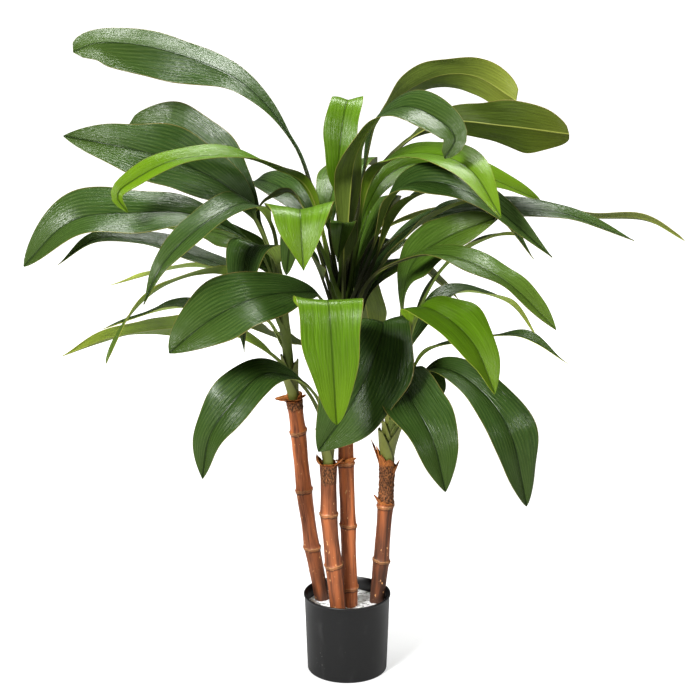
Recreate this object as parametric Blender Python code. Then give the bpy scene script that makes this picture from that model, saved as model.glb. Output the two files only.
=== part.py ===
"""A potted artificial cordyline: four canes with leafy crowns in a round black pot.

Units are metres, +Z is up and the origin is the centre of the pot's base.
+X is to the viewer's right and -Y faces the viewer.
"""
import math
from collections import namedtuple

import bpy
from mathutils import Quaternion, Vector

CM = 0.01
GAP = 0.0003
UP = Vector((0, 0, 1))

# Pot
POT_HEIGHT = 0.139
POT_RIM_RADIUS = 0.075
POT_BASE_RADIUS = 0.0690
POT_WALL = 0.0022
POT_FLOOR = 0.0030
POT_EDGE = 0.0025
ROUND_CORNER = 1 - math.cos(math.radians(45))
LIP_HEIGHT = 0.0040
LIP_PROUD = 0.0012
LIP_ROUND = 0.0010
POT_SIDES = 40

# Fill
FILL_LEVEL = 0.116
FILL_RELIEF = 0.0025
FILL_WAVES = (70, 55)
FILL_RINGS = (1.0, 0.82, 0.6, 0.3)
HOLE_CLEARANCE = 0.0006
HOLE_SIDES = 16
HOLE_OVERRUN = 0.020

# Canes
CANE_SIDES = 14
NODE_PROUD = 0.0020
NODE_HALF_HEIGHT = 0.0028
SOCKET_CLEARANCE = 0.0006
SOCKET_DEPTH = 0.015

# Husk collars: the shares of a husk's height are its mean edge, its teeth, its lean and its lining
HUSK_SIDES = 18
HUSK_THICKNESS = 0.0012
HUSK_SPREAD = 1.3
HUSK_TEETH = 5
HUSK_SHARES = (0.60, 0.24, 0.16, 0.10)
HUSK_TURN = 90

# Crown stems
CROWN_SIDES = 12
CROWN_TIP = 0.6

# Leaves: a station is a share of the blade's or the stalk's length
BLADE_STATIONS = (0, 0.06, 0.14, 0.25, 0.38, 0.52, 0.66, 0.79, 0.89, 0.96, 1.0)
STALK_STATIONS = (0, 0.25, 0.6)
ACROSS = (-1.0, -0.5, 0.0, 0.5, 1.0)
SHEATH_HALF_WIDTH = 0.0042
STALK_HALF_WIDTH = 0.0030
TIP_HALF_WIDTH = 0.0008
BLADE_EDGE_THICKNESS = 0.0008
BLADE_RIB_THICKNESS = 0.0017
STALK_RIB_THICKNESS = 0.0032
SHEATH_SHARE = 0.5
RIB_SHARE = 0.33
STALK_FOLD = 8
CHANNEL_STEEPNESS = 1.6
EDGE_WOBBLE = 0.06
WOBBLES_PER_BLADE = 2.7
WAVE_HEIGHT = 0.0030
WAVES_PER_BLADE = 2.3
EDGE_LAG = 1.9
END_MARGIN = 1e-6
GOLDEN_ANGLE = math.pi * (3 - math.sqrt(5))

# Blade shapes: the share of the length at which the blade is widest, how slowly it
# widens from its base and how slowly it narrows to its tip.
SHAPES = {
    "lance": (0.42, 1.0, 1.0),
    "broad": (0.50, 1.0, 0.8),
    "spoon": (0.66, 1.3, 0.75),
    "strap": (0.45, 0.8, 0.45),
    "taper": (0.30, 0.8, 1.2),
    "drop": (0.30, 0.7, 0.65),
    "oval": (0.68, 1.2, 0.52),
    "blunt": (0.74, 1.2, 0.42),
    "paddle": (0.74, 2.2, 0.45),
}

Stem = namedtuple("Stem", "foot joints cane_radius husk_height crown crown_radii")
Leaf = namedtuple("Leaf", "root stalk width shape fold roll twist tone path")

# Each stem in centimetres: the cane's foot and its joints up to the cane's top, then
# the crown stem's bends above the husk and its radius at the bottom and the top.
STEMS = {
    "left": Stem(
        foot=(-2.9, 3.1, 3.1),
        joints=((-6.1, 2.4, 21.3), (-7.4, 2.0, 31.8), (-8.3, 1.6, 42.5), (-8.9, 1.4, 48.0)),
        cane_radius=1.30, husk_height=3.0,
        crown=((-9.8, 1.1, 55.0), (-10.3, 1.0, 62.0), (-11.0, 1.0, 68.0)), crown_radii=(0.80, 0.50)),
    "front": Stem(
        foot=(-0.6, -4.0, 3.1),
        joints=((-2.3, -3.9, 20.6), (-3.1, -4.0, 29.6), (-3.1, -4.2, 38.5)),
        cane_radius=1.30, husk_height=2.4,
        crown=((-3.2, -4.5, 43.5), (-3.5, -5.0, 53.0)), crown_radii=(0.80, 0.50)),
    "centre": Stem(
        foot=(0.7, -0.5, 3.1),
        joints=((0.4, -0.3, 15.0), (0.2, 0.0, 26.2), (-0.2, 0.5, 37.0), (-0.3, 0.9, 47.0)),
        cane_radius=1.30, husk_height=2.6,
        crown=((-0.5, 1.0, 58.0), (-1.0, 1.0, 68.5)), crown_radii=(0.85, 0.50)),
    "right": Stem(
        foot=(4.3, 1.2, 3.1),
        joints=((5.9, 1.5, 19.2), (6.6, 1.8, 29.1), (6.9, 2.0, 36.5)),
        cane_radius=1.30, husk_height=3.2,
        crown=((7.5, 1.6, 43.5), (8.4, 0.8, 53.0)), crown_radii=(0.90, 0.55)),
}

# The leaves of each crown, in centimetres and degrees: the height of the root on the
# crown stem, the stalk's length, the blade's width and shape, how far its halves fold up,
# its roll about the midrib, the further twist to the tip, its tone, and the points that
# the midrib bends through from the root to the tip.
LEAVES = {
    "centre": (
        Leaf(66, 21, 9.5, "paddle", -25, -50, 0, "dark",
             ((-6.5, 5, 85.5), (-10, 7, 92.5), (-14.5, 8.5, 98), (-21, 10, 102.5),
              (-31.5, 11, 106), (-40.5, 10, 107), (-45, 8, 105.5))),
        Leaf(62, 12, 5, "spoon", 15, 40, -92, "lime",
             ((-5.5, 0, 82.5), (-11.5, -5, 88), (-17.5, -10, 90.5), (-26, -15, 90.5),
              (-32.5, -18, 87.5), (-34.5, -19, 85.5), (-33, -19, 83))),
        Leaf(60.5, 14, 8, "broad", 10, -15, 0, "dark",
             ((-7, 7, 79), (-15, 18, 83), (-20, 31, 78))),
        Leaf(64.5, 12, 8, "broad", 10, 0, 0, "mid",
             ((-3, 8, 80), (1, 20, 86), (5, 31, 84))),
        Leaf(65, 14, 10.5, "lance", 8, 0, 0, "lime",
             ((-4, -4, 74.5), (-7, -12, 82), (-7, -18, 82), (-6.5, -21, 74.5))),
        Leaf(60.5, 12, 4.5, "lance", 10, 0, 0, "mid",
             ((-0.5, -4, 74), (-0.5, -7, 79.5), (-1, -8.5, 77.5), (-1.5, -8.5, 73.5))),
        Leaf(59.5, 11, 5, "drop", 10, -38, 0, "dark",
             ((-4, -3, 70), (-6.5, -9, 76), (-8.5, -11.5, 78), (-9.5, -11.5, 72))),
        Leaf(68, 15, 5.5, "strap", 10, 0, 0, "lime",
             ((-1.5, -1, 84), (-1, -1.5, 92), (0, 2, 98), (1, 10, 96))),
        Leaf(66.5, 9, 7.5, "strap", 12, -8, 62, "dark",
             ((0.5, -3, 84), (1.5, -6.5, 90.5), (4.5, -10, 96), (9, -14.5, 98.5),
              (13.5, -19, 97), (16, -21.5, 94.5), (14.5, -22, 91.5))),
        Leaf(67, 19, 8.5, "blunt", 0, 32, -115, "dark",
             ((3.5, 10, 89), (5.5, 12, 94.5), (9.5, 13.5, 98.5), (15.5, 12, 101.5),
              (21.5, 9, 101.5), (27.5, 3, 98))),
        Leaf(63, 31, 8.5, "oval", 6, -70, 0, "mid",
             ((2, 4, 80), (7, 6, 88.5), (15.5, 7, 94), (25.5, 3, 94), (35, -6, 93.5))),
        Leaf(64.5, 15, 7.5, "broad", 12, 20, 0, "lime",
             ((3, 1.5, 83), (7, -2.5, 89), (13, -11.5, 91), (18.5, -20, 89.5), (22.5, -27, 83.5))),
        Leaf(60, 15, 8, "spoon", 10, 38, 0, "lime",
             ((3, 7, 79), (10, 18, 85.5), (22, 27, 83.5), (35.5, 31, 77.5))),
        Leaf(62.5, 15, 7, "lance", 15, 28, 0, "dark",
             ((4, -5, 75), (7.5, -10, 84.5), (13, -14, 87), (21, -18, 84.5), (31, -21, 76.5))),
        Leaf(58.5, 20, 5.5, "strap", 8, -25, 0, "dark",
             ((4, 3, 75), (15.5, 8, 79), (29.5, 12, 78.5), (40.5, 12, 77.5), (49.5, 8, 78), (56, 3, 75))),
        Leaf(61.5, 15, 6.5, "lance", 8, 20, 0, "dark",
             ((5, 1, 73), (13.5, 1, 79), (25, -1, 81), (34.5, -3, 80.5), (46, -6, 76.5))),
        Leaf(59.5, 15, 6, "lance", 15, 10, 0, "dark",
             ((5, -2, 74), (9, -5, 82), (14.5, -9, 85), (22, -12, 83.5), (29, -14, 75))),
        Leaf(57.5, 15, 4.5, "strap", 15, 0, 0, "dark",
             ((4, -1, 69), (11, -3, 78), (20, -3, 82.5), (27, -4, 81))),
        Leaf(56, 18, 6.5, "spoon", 10, 10, 0, "mid",
             ((3, -5, 69), (9, -12, 74.5), (16, -17, 76), (24, -22, 73), (31.5, -24, 66))),
        Leaf(54, 8, 7, "broad", 10, 30, 0, "mid",
             ((-4, 5, 56.5), (-9.5, 8, 56.5), (-18.5, 11, 59))),
        Leaf(57.5, 12, 8, "broad", 10, 0, 0, "mid",
             ((1, 6, 70), (5, 16, 80), (8, 27, 76))),
        Leaf(55, 10, 8, "broad", 10, 0, 0, "dark",
             ((2, 5, 66), (7, 13, 73), (14, 24, 68))),
        Leaf(53, 12, 6, "lance", 10, 0, 0, "mid",
             ((4, 7, 66), (11, 16, 69), (20, 23, 61))),
        Leaf(51, 14, 7, "broad", 10, 0, 0, "dark",
             ((-0.5, 6, 64), (2, 12, 66), (4, 19, 57), (4, 21, 51))),
        Leaf(57, 12, 11, "spoon", 8, -35, 0, "dark",
             ((-4, -6.5, 67), (-7.5, -13, 69.5), (-14, -20, 70), (-20.5, -24, 67.5), (-26.5, -26.5, 63))),
    ),
    "left": (
        Leaf(66, 12, 12.5, "oval", 8, -70, 0, "dark",
             ((-13, 5, 73), (-17.5, 11, 81.5), (-27, 17, 89), (-38, 21, 92.5))),
        Leaf(67, 12, 10, "broad", 10, -60, 0, "dark",
             ((-13, 1, 74), (-17.5, -1, 83), (-26, -4, 88.5), (-34, -5, 91), (-45, -4, 93))),
        Leaf(66.5, 14, 6, "lance", 12, -15, 0, "dark",
             ((-12, -5, 78.5), (-15.5, -13, 83.5), (-21.5, -21, 81.5), (-27, -26, 76.5), (-30, -27, 70.5))),
        Leaf(63, 14, 9.5, "spoon", 12, -40, 0, "dark",
             ((-14, -3, 74), (-23, -10, 81), (-33.5, -13, 82), (-42.5, -15, 81), (-50, -15, 74))),
        Leaf(62, 8, 6, "lance", 10, -20, 0, "dark",
             ((-14, 0, 68.5), (-22, -3, 72.5), (-31.5, -5, 76), (-39.5, -7, 77), (-46, -8, 73))),
        Leaf(59, 8, 4.5, "lance", 10, 5, 0, "dark",
             ((-14, 5, 66), (-26, 12, 69), (-42, 18, 64.5))),
        Leaf(60, 8, 4, "strap", 10, 20, 0, "mid",
             ((-14, -1, 67.5), (-21, -7, 71.5), (-28.5, -12, 70.5), (-34, -15, 66), (-37.5, -17, 59))),
        Leaf(61, 12, 9.5, "taper", 8, 0, 0, "dark",
             ((-11, -2.5, 71), (-13.5, -8, 76), (-16, -10.5, 74), (-16.5, -9.5, 59))),
        Leaf(61, 8, 7, "lance", 10, -20, 0, "mid",
             ((-12, 6, 68), (-20, 12, 74), (-32, 17, 75))),
        Leaf(57, 8, 5, "lance", 10, 0, 0, "dark",
             ((-15, 5, 62), (-29, 6, 63), (-41, 3, 60))),
    ),
    "front": (
        Leaf(46, 14, 7.5, "lance", 8, 35, 0, "mid",
             ((-7, -5, 52), (-14, -6, 59), (-23.5, -7, 62.5), (-36.5, -8, 61.5), (-46, -8, 58))),
        Leaf(45, 12, 7.5, "broad", 12, -30, 0, "dark",
             ((-5, -10, 52), (-8.5, -14, 56), (-13, -18, 57.5), (-17, -21, 54.5),
              (-21, -22, 49), (-22.5, -21, 41.5))),
        Leaf(50, 18, 10, "drop", 2, 0, 0, "lime",
             ((-3, -9, 57.5), (-3, -20, 69), (-2.5, -26, 68.5), (-1.5, -27, 52))),
        Leaf(49, 12, 13, "broad", 6, 0, 0, "dark",
             ((1, -7, 56), (5.5, -10, 64), (5, -13, 61), (1.5, -16.5, 53.5), (-4.5, -16.5, 44.5))),
    ),
    "right": (
        Leaf(52, 12, 8, "broad", 8, 55, 0, "mid",
             ((9, -2, 64), (10.5, -5.5, 72.5), (15.5, -9.5, 77.5), (24, -12, 81.5))),
        Leaf(48, 12, 5.5, "lance", 10, -15, 0, "mid",
             ((11, 3, 60), (16, 4, 70), (24, 6, 75), (31.5, 8, 75))),
        Leaf(46, 10, 6, "lance", 12, 0, 0, "dark",
             ((11, 5, 57), (18, 12, 64), (28, 16, 62), (34, 15, 55))),
        Leaf(44.5, 10, 4.5, "lance", 10, 0, 0, "dark",
             ((12, -1, 56), (18.5, -4, 59.5), (28, -9, 61.5), (35, -13, 58))),
        Leaf(47, 20, 9.5, "broad", 10, 10, 0, "lime",
             ((10, -5, 58.5), (11, -14, 67), (15, -19, 67), (19.5, -22, 63), (22.5, -24, 56))),
        Leaf(43, 8, 10.5, "broad", 10, 0, 0, "dark",
             ((8.5, -4, 51), (8, -9, 55.5), (10.5, -15, 52), (13.5, -19, 47), (15.5, -20, 39))),
        Leaf(41.5, 8, 8.5, "spoon", 10, 20, 0, "dark",
             ((11, -2, 51), (15, -6, 55.5), (21, -11, 53.5), (26, -15, 47), (29, -14, 34.5))),
    ),
}


# Base colour, roughness
LOOKS = {
    "pot_plastic": ((0.016, 0.016, 0.017), 0.45),
    "fill_grit": ((0.52, 0.50, 0.47), 0.95),
    "cane_bark": ((0.28, 0.10, 0.05), 0.60),
    "husk_fibre": ((0.42, 0.17, 0.06), 0.85),
    "crown_stem": ((0.30, 0.34, 0.16), 0.50),
    "leaf_dark": ((0.022, 0.060, 0.014), 0.38),
    "leaf_mid": ((0.070, 0.150, 0.025), 0.40),
    "leaf_lime": ((0.190, 0.400, 0.015), 0.40),
}


def clear_scene():
    for thing in list(bpy.data.objects):
        bpy.data.objects.remove(thing, do_unlink=True)


def make_material(name):
    colour, roughness = LOOKS[name]
    material = bpy.data.materials.new(name)
    material.use_nodes = True
    shader = material.node_tree.nodes["Principled BSDF"]
    shader.inputs["Base Color"].default_value = (*colour, 1)
    shader.inputs["Roughness"].default_value = roughness
    shader.inputs["Metallic"].default_value = 0.0
    return material


def add_object(name, points, faces, material, smooth_angle=40):
    mesh = bpy.data.meshes.new(name)
    mesh.from_pydata(points, [], faces)
    mesh.materials.append(material)
    mesh.shade_smooth()
    mesh.set_sharp_from_angle(angle=math.radians(smooth_angle))
    thing = bpy.data.objects.new(name, mesh)
    bpy.context.scene.collection.objects.link(thing)
    return thing


def skin_rings(rings, loop=False):
    """Faces over rings of points, low to high; a ring of one point closes an end."""
    points = [point for ring in rings for point in ring]
    starts, count = [], 0
    for ring in rings:
        starts.append(count)
        count += len(ring)
    faces = []
    pairs = list(zip(range(len(rings)), range(1, len(rings))))
    if loop:
        pairs.append((len(rings) - 1, 0))
    for low, high in pairs:
        a, b = starts[low], starts[high]
        size = max(len(rings[low]), len(rings[high]))
        for side in range(size):
            turn = (side + 1) % size
            if len(rings[low]) == 1:
                faces.append((a, b + turn, b + side))
            elif len(rings[high]) == 1:
                faces.append((a + side, a + turn, b))
            else:
                faces.append((a + side, a + turn, b + turn, b + side))
    return points, faces


def circle(centre, axis, radius, sides, height=None):
    """A ring of points about an axis, counted anticlockwise seen from its far end."""
    across = (Vector((1, 0, 0)) - axis * axis.x).normalized()
    side = axis.cross(across)
    ring = []
    for step in range(sides):
        angle = math.tau * step / sides
        rise = height(angle) if height else 0.0
        ring.append(centre + (across * math.cos(angle) + side * math.sin(angle)) * radius + axis * rise)
    return ring


def turned(profile, sides):
    """A shape turned about the Z axis from (radius, height) points."""
    rings = []
    for radius, height in profile:
        centre = Vector((0, 0, height))
        rings.append(circle(centre, UP, radius, sides) if radius else [centre])
    return skin_rings(rings)


def pot_wall_radius(height):
    """The pot's outer radius below its lip."""
    return POT_BASE_RADIUS + (POT_RIM_RADIUS - LIP_PROUD - POT_BASE_RADIUS) * height / POT_HEIGHT


def build_pot(material):
    lip_low = POT_HEIGHT - LIP_HEIGHT
    inner_top = pot_wall_radius(POT_HEIGHT) - POT_WALL
    profile = (
        (0, 0),
        (POT_BASE_RADIUS - POT_EDGE, 0),
        (POT_BASE_RADIUS - POT_EDGE * ROUND_CORNER, POT_EDGE * ROUND_CORNER),
        (pot_wall_radius(POT_EDGE), POT_EDGE),
        (pot_wall_radius(lip_low), lip_low),
        (POT_RIM_RADIUS, lip_low + LIP_ROUND),
        (POT_RIM_RADIUS, POT_HEIGHT - LIP_ROUND),
        (POT_RIM_RADIUS - LIP_ROUND, POT_HEIGHT),
        (inner_top + LIP_ROUND, POT_HEIGHT),
        (inner_top, POT_HEIGHT - LIP_ROUND),
        (pot_wall_radius(POT_FLOOR) - POT_WALL, POT_FLOOR),
        (0, POT_FLOOR),
    )
    points, faces = turned(profile, POT_SIDES)
    return add_object("pot", points, faces, material)


def fill_height(x, y):
    """The rough top of the fill, which dips and swells a little."""
    u, v = x * FILL_WAVES[0], y * FILL_WAVES[1]
    return FILL_LEVEL + FILL_RELIEF * (2 * math.sin(u) * math.cos(v) + math.sin(2 * (u - v))) / 3


def build_fill(material):
    low = POT_FLOOR + GAP
    rings = [[Vector((0, 0, low))]]
    rings.append(circle(Vector((0, 0, low)), UP, pot_wall_radius(low) - POT_WALL - GAP, POT_SIDES))
    edge = pot_wall_radius(FILL_LEVEL - FILL_RELIEF) - POT_WALL - GAP
    for share in FILL_RINGS:
        ring = circle(Vector((0, 0, 0)), UP, edge * share, POT_SIDES)
        rings.append([Vector((p.x, p.y, fill_height(p.x, p.y))) for p in ring])
    rings.append([Vector((0, 0, fill_height(0, 0)))])
    points, faces = skin_rings(rings)
    fill = add_object("fill", points, faces, material)
    cutters = [cane_hole(stem) for stem in STEMS.values()]
    for cutter in cutters:
        cut = fill.modifiers.new("cane hole", "BOOLEAN")
        cut.operation = "DIFFERENCE"
        cut.object = cutter
    bpy.context.view_layer.update()
    cut_fill = fill.evaluated_get(bpy.context.evaluated_depsgraph_get())
    cut_mesh = bpy.data.meshes.new_from_object(cut_fill)
    fill.modifiers.clear()
    fill.data = cut_mesh
    for cutter in cutters:
        bpy.data.objects.remove(cutter, do_unlink=True)
    return fill


def cane_hole(stem):
    """The round hole in which one cane stands."""
    foot, first = Vector(stem.foot) * CM, Vector(stem.joints[0]) * CM
    axis = (first - foot).normalized()
    bottom = foot - axis * GAP
    top = foot + axis * (FILL_LEVEL + HOLE_OVERRUN - foot.z)
    radius = stem.cane_radius * CM + HOLE_CLEARANCE
    low_ring, high_ring = (circle(end, axis, radius, HOLE_SIDES) for end in (bottom, top))
    points, faces = skin_rings([[bottom], low_ring, high_ring, [top]])
    mesh = bpy.data.meshes.new("cane hole")
    mesh.from_pydata(points, [], faces)
    cutter = bpy.data.objects.new("cane hole", mesh)
    bpy.context.scene.collection.objects.link(cutter)
    return cutter


def cane_top(stem):
    """The middle of the cane's top and the direction in which the cane ends."""
    top, below = Vector(stem.joints[-1]) * CM, Vector(stem.joints[-2]) * CM
    return top, (top - below).normalized()


def build_cane(name, stem, material):
    """A jointed cane with a raised ring at each joint and a socket in its top."""
    spots = [Vector(stem.foot) * CM] + [Vector(joint) * CM for joint in stem.joints]
    radius = stem.cane_radius * CM
    first_axis = (spots[1] - spots[0]).normalized()
    rings = [[spots[0]], circle(spots[0], first_axis, radius, CANE_SIDES)]
    for before, here, after in zip(spots, spots[1:], spots[2:]):
        axis = ((here - before).normalized() + (after - here).normalized()).normalized()
        for rise, swell in ((-2, 0), (-1, NODE_PROUD), (1, NODE_PROUD), (2, 0)):
            rings.append(circle(here + axis * rise * NODE_HALF_HEIGHT, axis, radius + swell, CANE_SIDES))
    top, axis = cane_top(stem)
    rings.append(circle(top, axis, radius, CANE_SIDES))
    bottom, socket_radius = top - axis * SOCKET_DEPTH, stem.crown_radii[0] * CM + SOCKET_CLEARANCE
    rings.append(circle(top, axis, socket_radius, CANE_SIDES))
    rings.append(circle(bottom, axis, socket_radius, CANE_SIDES))
    rings.append([bottom])
    points, faces = skin_rings(rings)
    return add_object(name, points, faces, material)


def crown_line(stem):
    """Points and radii along the crown stem, from its foot in the socket to its top."""
    top, axis = cane_top(stem)
    husk_top = top + axis * stem.husk_height * CM
    spots = [top - axis * (SOCKET_DEPTH - GAP), husk_top] + [Vector(bend) * CM for bend in stem.crown]
    low, high = stem.crown_radii
    rise = spots[-1].z - husk_top.z
    radii = [low * CM] + [(low + (high - low) * (spot.z - husk_top.z) / rise) * CM for spot in spots[1:]]
    return spots, radii


def crown_at(stem, height):
    """The crown stem's middle and radius at a height."""
    spots, radii = crown_line(stem)
    for low, high, thick, thin in zip(spots, spots[1:], radii, radii[1:]):
        if height <= high.z:
            share = (height - low.z) / (high.z - low.z)
            return low.lerp(high, share), thick + (thin - thick) * share
    raise ValueError("a leaf's root is above its crown stem")


def build_crown(name, stem, material):
    spots, radii = crown_line(stem)
    rings = []
    for index, (spot, radius) in enumerate(zip(spots, radii)):
        before, after = spots[max(index - 1, 0)], spots[min(index + 1, len(spots) - 1)]
        axis = (after - before).normalized()
        if index <= 1:
            axis = (spots[1] - spots[0]).normalized()
        rings.append(circle(spot, axis, radius, CROWN_SIDES))
    rings = [[spots[0]]] + rings + [[spots[-1] + UP * radii[-1] * CROWN_TIP]]
    points, faces = skin_rings(rings)
    return add_object(name, points, faces, material)


def build_husk(name, stem, material):
    """A torn collar that stands on the cane's top around the crown stem."""
    top, axis = cane_top(stem)
    low = top + axis * GAP
    inner = stem.crown_radii[0] * CM + GAP * 2
    outer = stem.cane_radius * CM - GAP
    tall = stem.husk_height * CM

    mean, tooth, lean, lining = (share * tall for share in HUSK_SHARES)

    def torn(angle):
        return mean + tooth * math.sin(HUSK_TEETH * angle) + lean * math.cos(angle * 2 + tall * HUSK_TURN)

    rings = [
        circle(low, axis, outer, HUSK_SIDES),
        circle(low, axis, outer * HUSK_SPREAD, HUSK_SIDES, torn),
        circle(low, axis, outer * HUSK_SPREAD - HUSK_THICKNESS, HUSK_SIDES, torn),
        circle(low, axis, inner, HUSK_SIDES, lambda angle: lining),
        circle(low, axis, inner, HUSK_SIDES),
    ]
    points, faces = skin_rings(rings, loop=True)
    return add_object(name, points, faces, material)


def smooth_line(spots, steps=24):
    """Points along a curve that passes through every spot."""
    ends = [spots[0] * 2 - spots[1]] + list(spots) + [spots[-1] * 2 - spots[-2]]
    line = []
    for a, b, c, d in zip(ends, ends[1:], ends[2:], ends[3:]):
        for step in range(steps):
            t = step / steps
            line.append(0.5 * (2 * b + (c - a) * t + (2 * a - 5 * b + 4 * c - d) * t ** 2
                               + (3 * b - 3 * c + d - a) * t ** 3))
    line.append(spots[-1].copy())
    return line


def along(line, stations):
    """The points at the given distances along a line."""
    reached, spots, index = 0.0, [], 0
    for low, high in zip(line, line[1:]):
        step = (high - low).length
        while index < len(stations) and stations[index] <= reached + step + END_MARGIN:
            spots.append(low.lerp(high, (stations[index] - reached) / step))
            index += 1
        reached += step
    return spots


def line_length(line):
    return sum((high - low).length for low, high in zip(line, line[1:]))


def carried_normals(tangents, crest):
    """Upper-side normals: level across the leaf at its crest, carried along from there."""
    level = tangents[crest].cross(UP).normalized()
    normals = [None] * len(tangents)
    normals[crest] = level.cross(tangents[crest]).normalized()
    for order in (range(crest + 1, len(tangents)), range(crest - 1, -1, -1)):
        last = crest
        for index in order:
            turn = tangents[last].rotation_difference(tangents[index])
            carried = turn @ normals[last]
            normals[index] = (carried - tangents[index] * carried.dot(tangents[index])).normalized()
            last = index
    return normals


def blade_outline(shape, share):
    """Half-width of a blade as a share of its widest, from its base (0) to its tip (1)."""
    widest, widening, narrowing = SHAPES[shape]
    if share < widest:
        return math.sin(math.pi / 2 * share / widest) ** widening
    return max(0.0, math.cos(math.pi / 2 * (share - widest) / (1 - widest))) ** narrowing


def stem_facing(stem, leaf):
    """The level direction from the crown stem to the leaf, and where the leaf starts."""
    middle, radius = crown_at(stem, leaf.root * CM)
    first = Vector(leaf.path[0]) * CM
    heading = Vector((first.x - middle.x, first.y - middle.y, 0)).normalized()
    return heading, middle + heading * (radius + GAP)


def signed_angle(axis, before, after):
    """How far a direction turns about an axis, in radians."""
    return math.atan2(axis.dot(before.cross(after)), before.dot(after))


def leaf_sections(stem, leaf, phase):
    """Rows of points across the leaf, upper side then under side, from root to tip."""
    heading, root = stem_facing(stem, leaf)
    line = smooth_line([root] + [Vector(spot) * CM for spot in leaf.path])
    length, stalk = line_length(line), leaf.stalk * CM
    stations = [stalk * share for share in STALK_STATIONS]
    stations += [stalk + (length - stalk) * share for share in BLADE_STATIONS]
    stations[-1] = length - END_MARGIN
    spots = along(line, stations)
    befores, afters = [spots[0]] + spots, spots[1:] + [spots[-1]]
    tangents = [(after - before).normalized() for before, after in zip(befores, afters)]
    crest = max(range(len(spots)), key=lambda spot: spots[spot].z)
    normals = carried_normals(tangents, crest)
    to_stem = (-heading - tangents[0] * -heading.dot(tangents[0])).normalized()
    root_turn = signed_angle(tangents[0], normals[0], to_stem)
    rows = []
    for spot, tangent, normal, station in zip(spots, tangents, normals, stations):
        grown = max(0.0, (station - stalk) / (length - stalk))
        risen = min(1.0, station / stalk)
        roll = math.radians(leaf.roll * risen + leaf.twist * grown) + root_turn * (1 - risen)
        up = Quaternion(tangent, roll) @ normal
        rows.append(leaf_row(leaf, phase, spot, tangent.cross(up), up, risen, grown))
    return rows


def leaf_row(leaf, phase, spot, side, up, risen, grown):
    narrowed = min(1.0, risen / SHEATH_SHARE)
    stalk_half = SHEATH_HALF_WIDTH + (STALK_HALF_WIDTH - SHEATH_HALF_WIDTH) * narrowed
    blade_half = leaf.width * CM / 2 * blade_outline(leaf.shape, grown)
    tip_half = STALK_HALF_WIDTH + (TIP_HALF_WIDTH - STALK_HALF_WIDTH) * grown
    half = max(stalk_half if grown == 0 else tip_half, blade_half)
    thinned = min(1.0, grown / RIB_SHARE)
    rib = STALK_RIB_THICKNESS + (BLADE_RIB_THICKNESS - STALK_RIB_THICKNESS) * thinned
    rib += (BLADE_EDGE_THICKNESS - BLADE_RIB_THICKNESS) * grown ** 2
    full = min(1.0, half / (leaf.width * CM / 2))
    fold = math.tan(math.radians(STALK_FOLD + (leaf.fold - STALK_FOLD) * full))
    upper, under = [], []
    for share in ACROSS:
        lag = EDGE_LAG if share > 0 else 0
        wave = math.sin(math.tau * WAVES_PER_BLADE * grown + phase + lag)
        wobble = math.sin(math.tau * WOBBLES_PER_BLADE * grown + phase * 2 + lag)
        out = half * share * (1 + EDGE_WOBBLE * wobble * full * abs(share))
        rise = half * fold * abs(share) * (CHANNEL_STEEPNESS - (CHANNEL_STEEPNESS - 1) * abs(share))
        rise += WAVE_HEIGHT * wave * share ** 2 * full
        thick = BLADE_EDGE_THICKNESS + (rib - BLADE_EDGE_THICKNESS) * (1 - abs(share))
        upper.append(spot + side * out + up * rise)
        under.append(spot + side * out + up * (rise - thick))
    return upper, under


def build_leaf(name, stem, leaf, phase, material):
    rows = leaf_sections(stem, leaf, phase)
    across = len(ACROSS)
    points = [point for upper, under in rows for point in upper + under]
    faces = []
    for row in range(len(rows) - 1):
        here, there = row * 2 * across, (row + 1) * 2 * across
        for column in range(across - 1):
            a, b, c, d = here + column, here + column + 1, there + column + 1, there + column
            faces += [(a, b, c), (a, c, d)]
            a, b, c, d = a + across, b + across, c + across, d + across
            faces += [(a, c, b), (a, d, c)]
        for column, flip in ((0, False), (across - 1, True)):
            a, b, c, d = here + column, there + column, there + column + across, here + column + across
            faces += [(a, c, b), (a, d, c)] if flip else [(a, b, c), (a, c, d)]
    last = (len(rows) - 1) * 2 * across
    for column in range(across - 1):
        faces.append((column + 1, column, column + across, column + across + 1))
        faces.append((last + column, last + column + 1, last + column + across + 1, last + column + across))
    return add_object(name, points, faces, material)


def build():
    clear_scene()
    materials = {name: make_material(name) for name in LOOKS}
    build_pot(materials["pot_plastic"])
    build_fill(materials["fill_grit"])
    for name, stem in STEMS.items():
        build_cane("cane_" + name, stem, materials["cane_bark"])
        build_husk("husk_" + name, stem, materials["husk_fibre"])
        build_crown("crown_stem_" + name, stem, materials["crown_stem"])
    for crown, leaves in LEAVES.items():
        for number, leaf in enumerate(leaves, start=1):
            name = f"leaf_{crown}_{number:02d}"
            build_leaf(name, STEMS[crown], leaf, number * GOLDEN_ANGLE, materials["leaf_" + leaf.tone])


build()
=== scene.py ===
"""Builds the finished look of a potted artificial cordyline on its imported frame.

Units are metres, +Z is up and the origin is the centre of the pot's base.
+X is to the viewer's right and -Y faces the viewer.
"""

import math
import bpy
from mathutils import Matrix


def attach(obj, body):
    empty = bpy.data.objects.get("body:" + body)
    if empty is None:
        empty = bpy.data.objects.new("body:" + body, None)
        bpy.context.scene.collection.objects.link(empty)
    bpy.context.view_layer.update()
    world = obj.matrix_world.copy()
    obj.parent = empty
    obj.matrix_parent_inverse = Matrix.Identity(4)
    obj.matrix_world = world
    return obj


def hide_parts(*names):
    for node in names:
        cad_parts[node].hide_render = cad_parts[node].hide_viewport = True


bl_info = {
    "name": "Potted Cordyline",
    "version": (1, 0, 0),
    "blender": (4, 5, 0),
    "location": "3D View > Sidebar > Cordyline",
    "description": "Builds the leaves, canes, pot and studio of a potted cordyline",
    "category": "Object",
}

from collections import namedtuple
from itertools import accumulate

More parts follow.
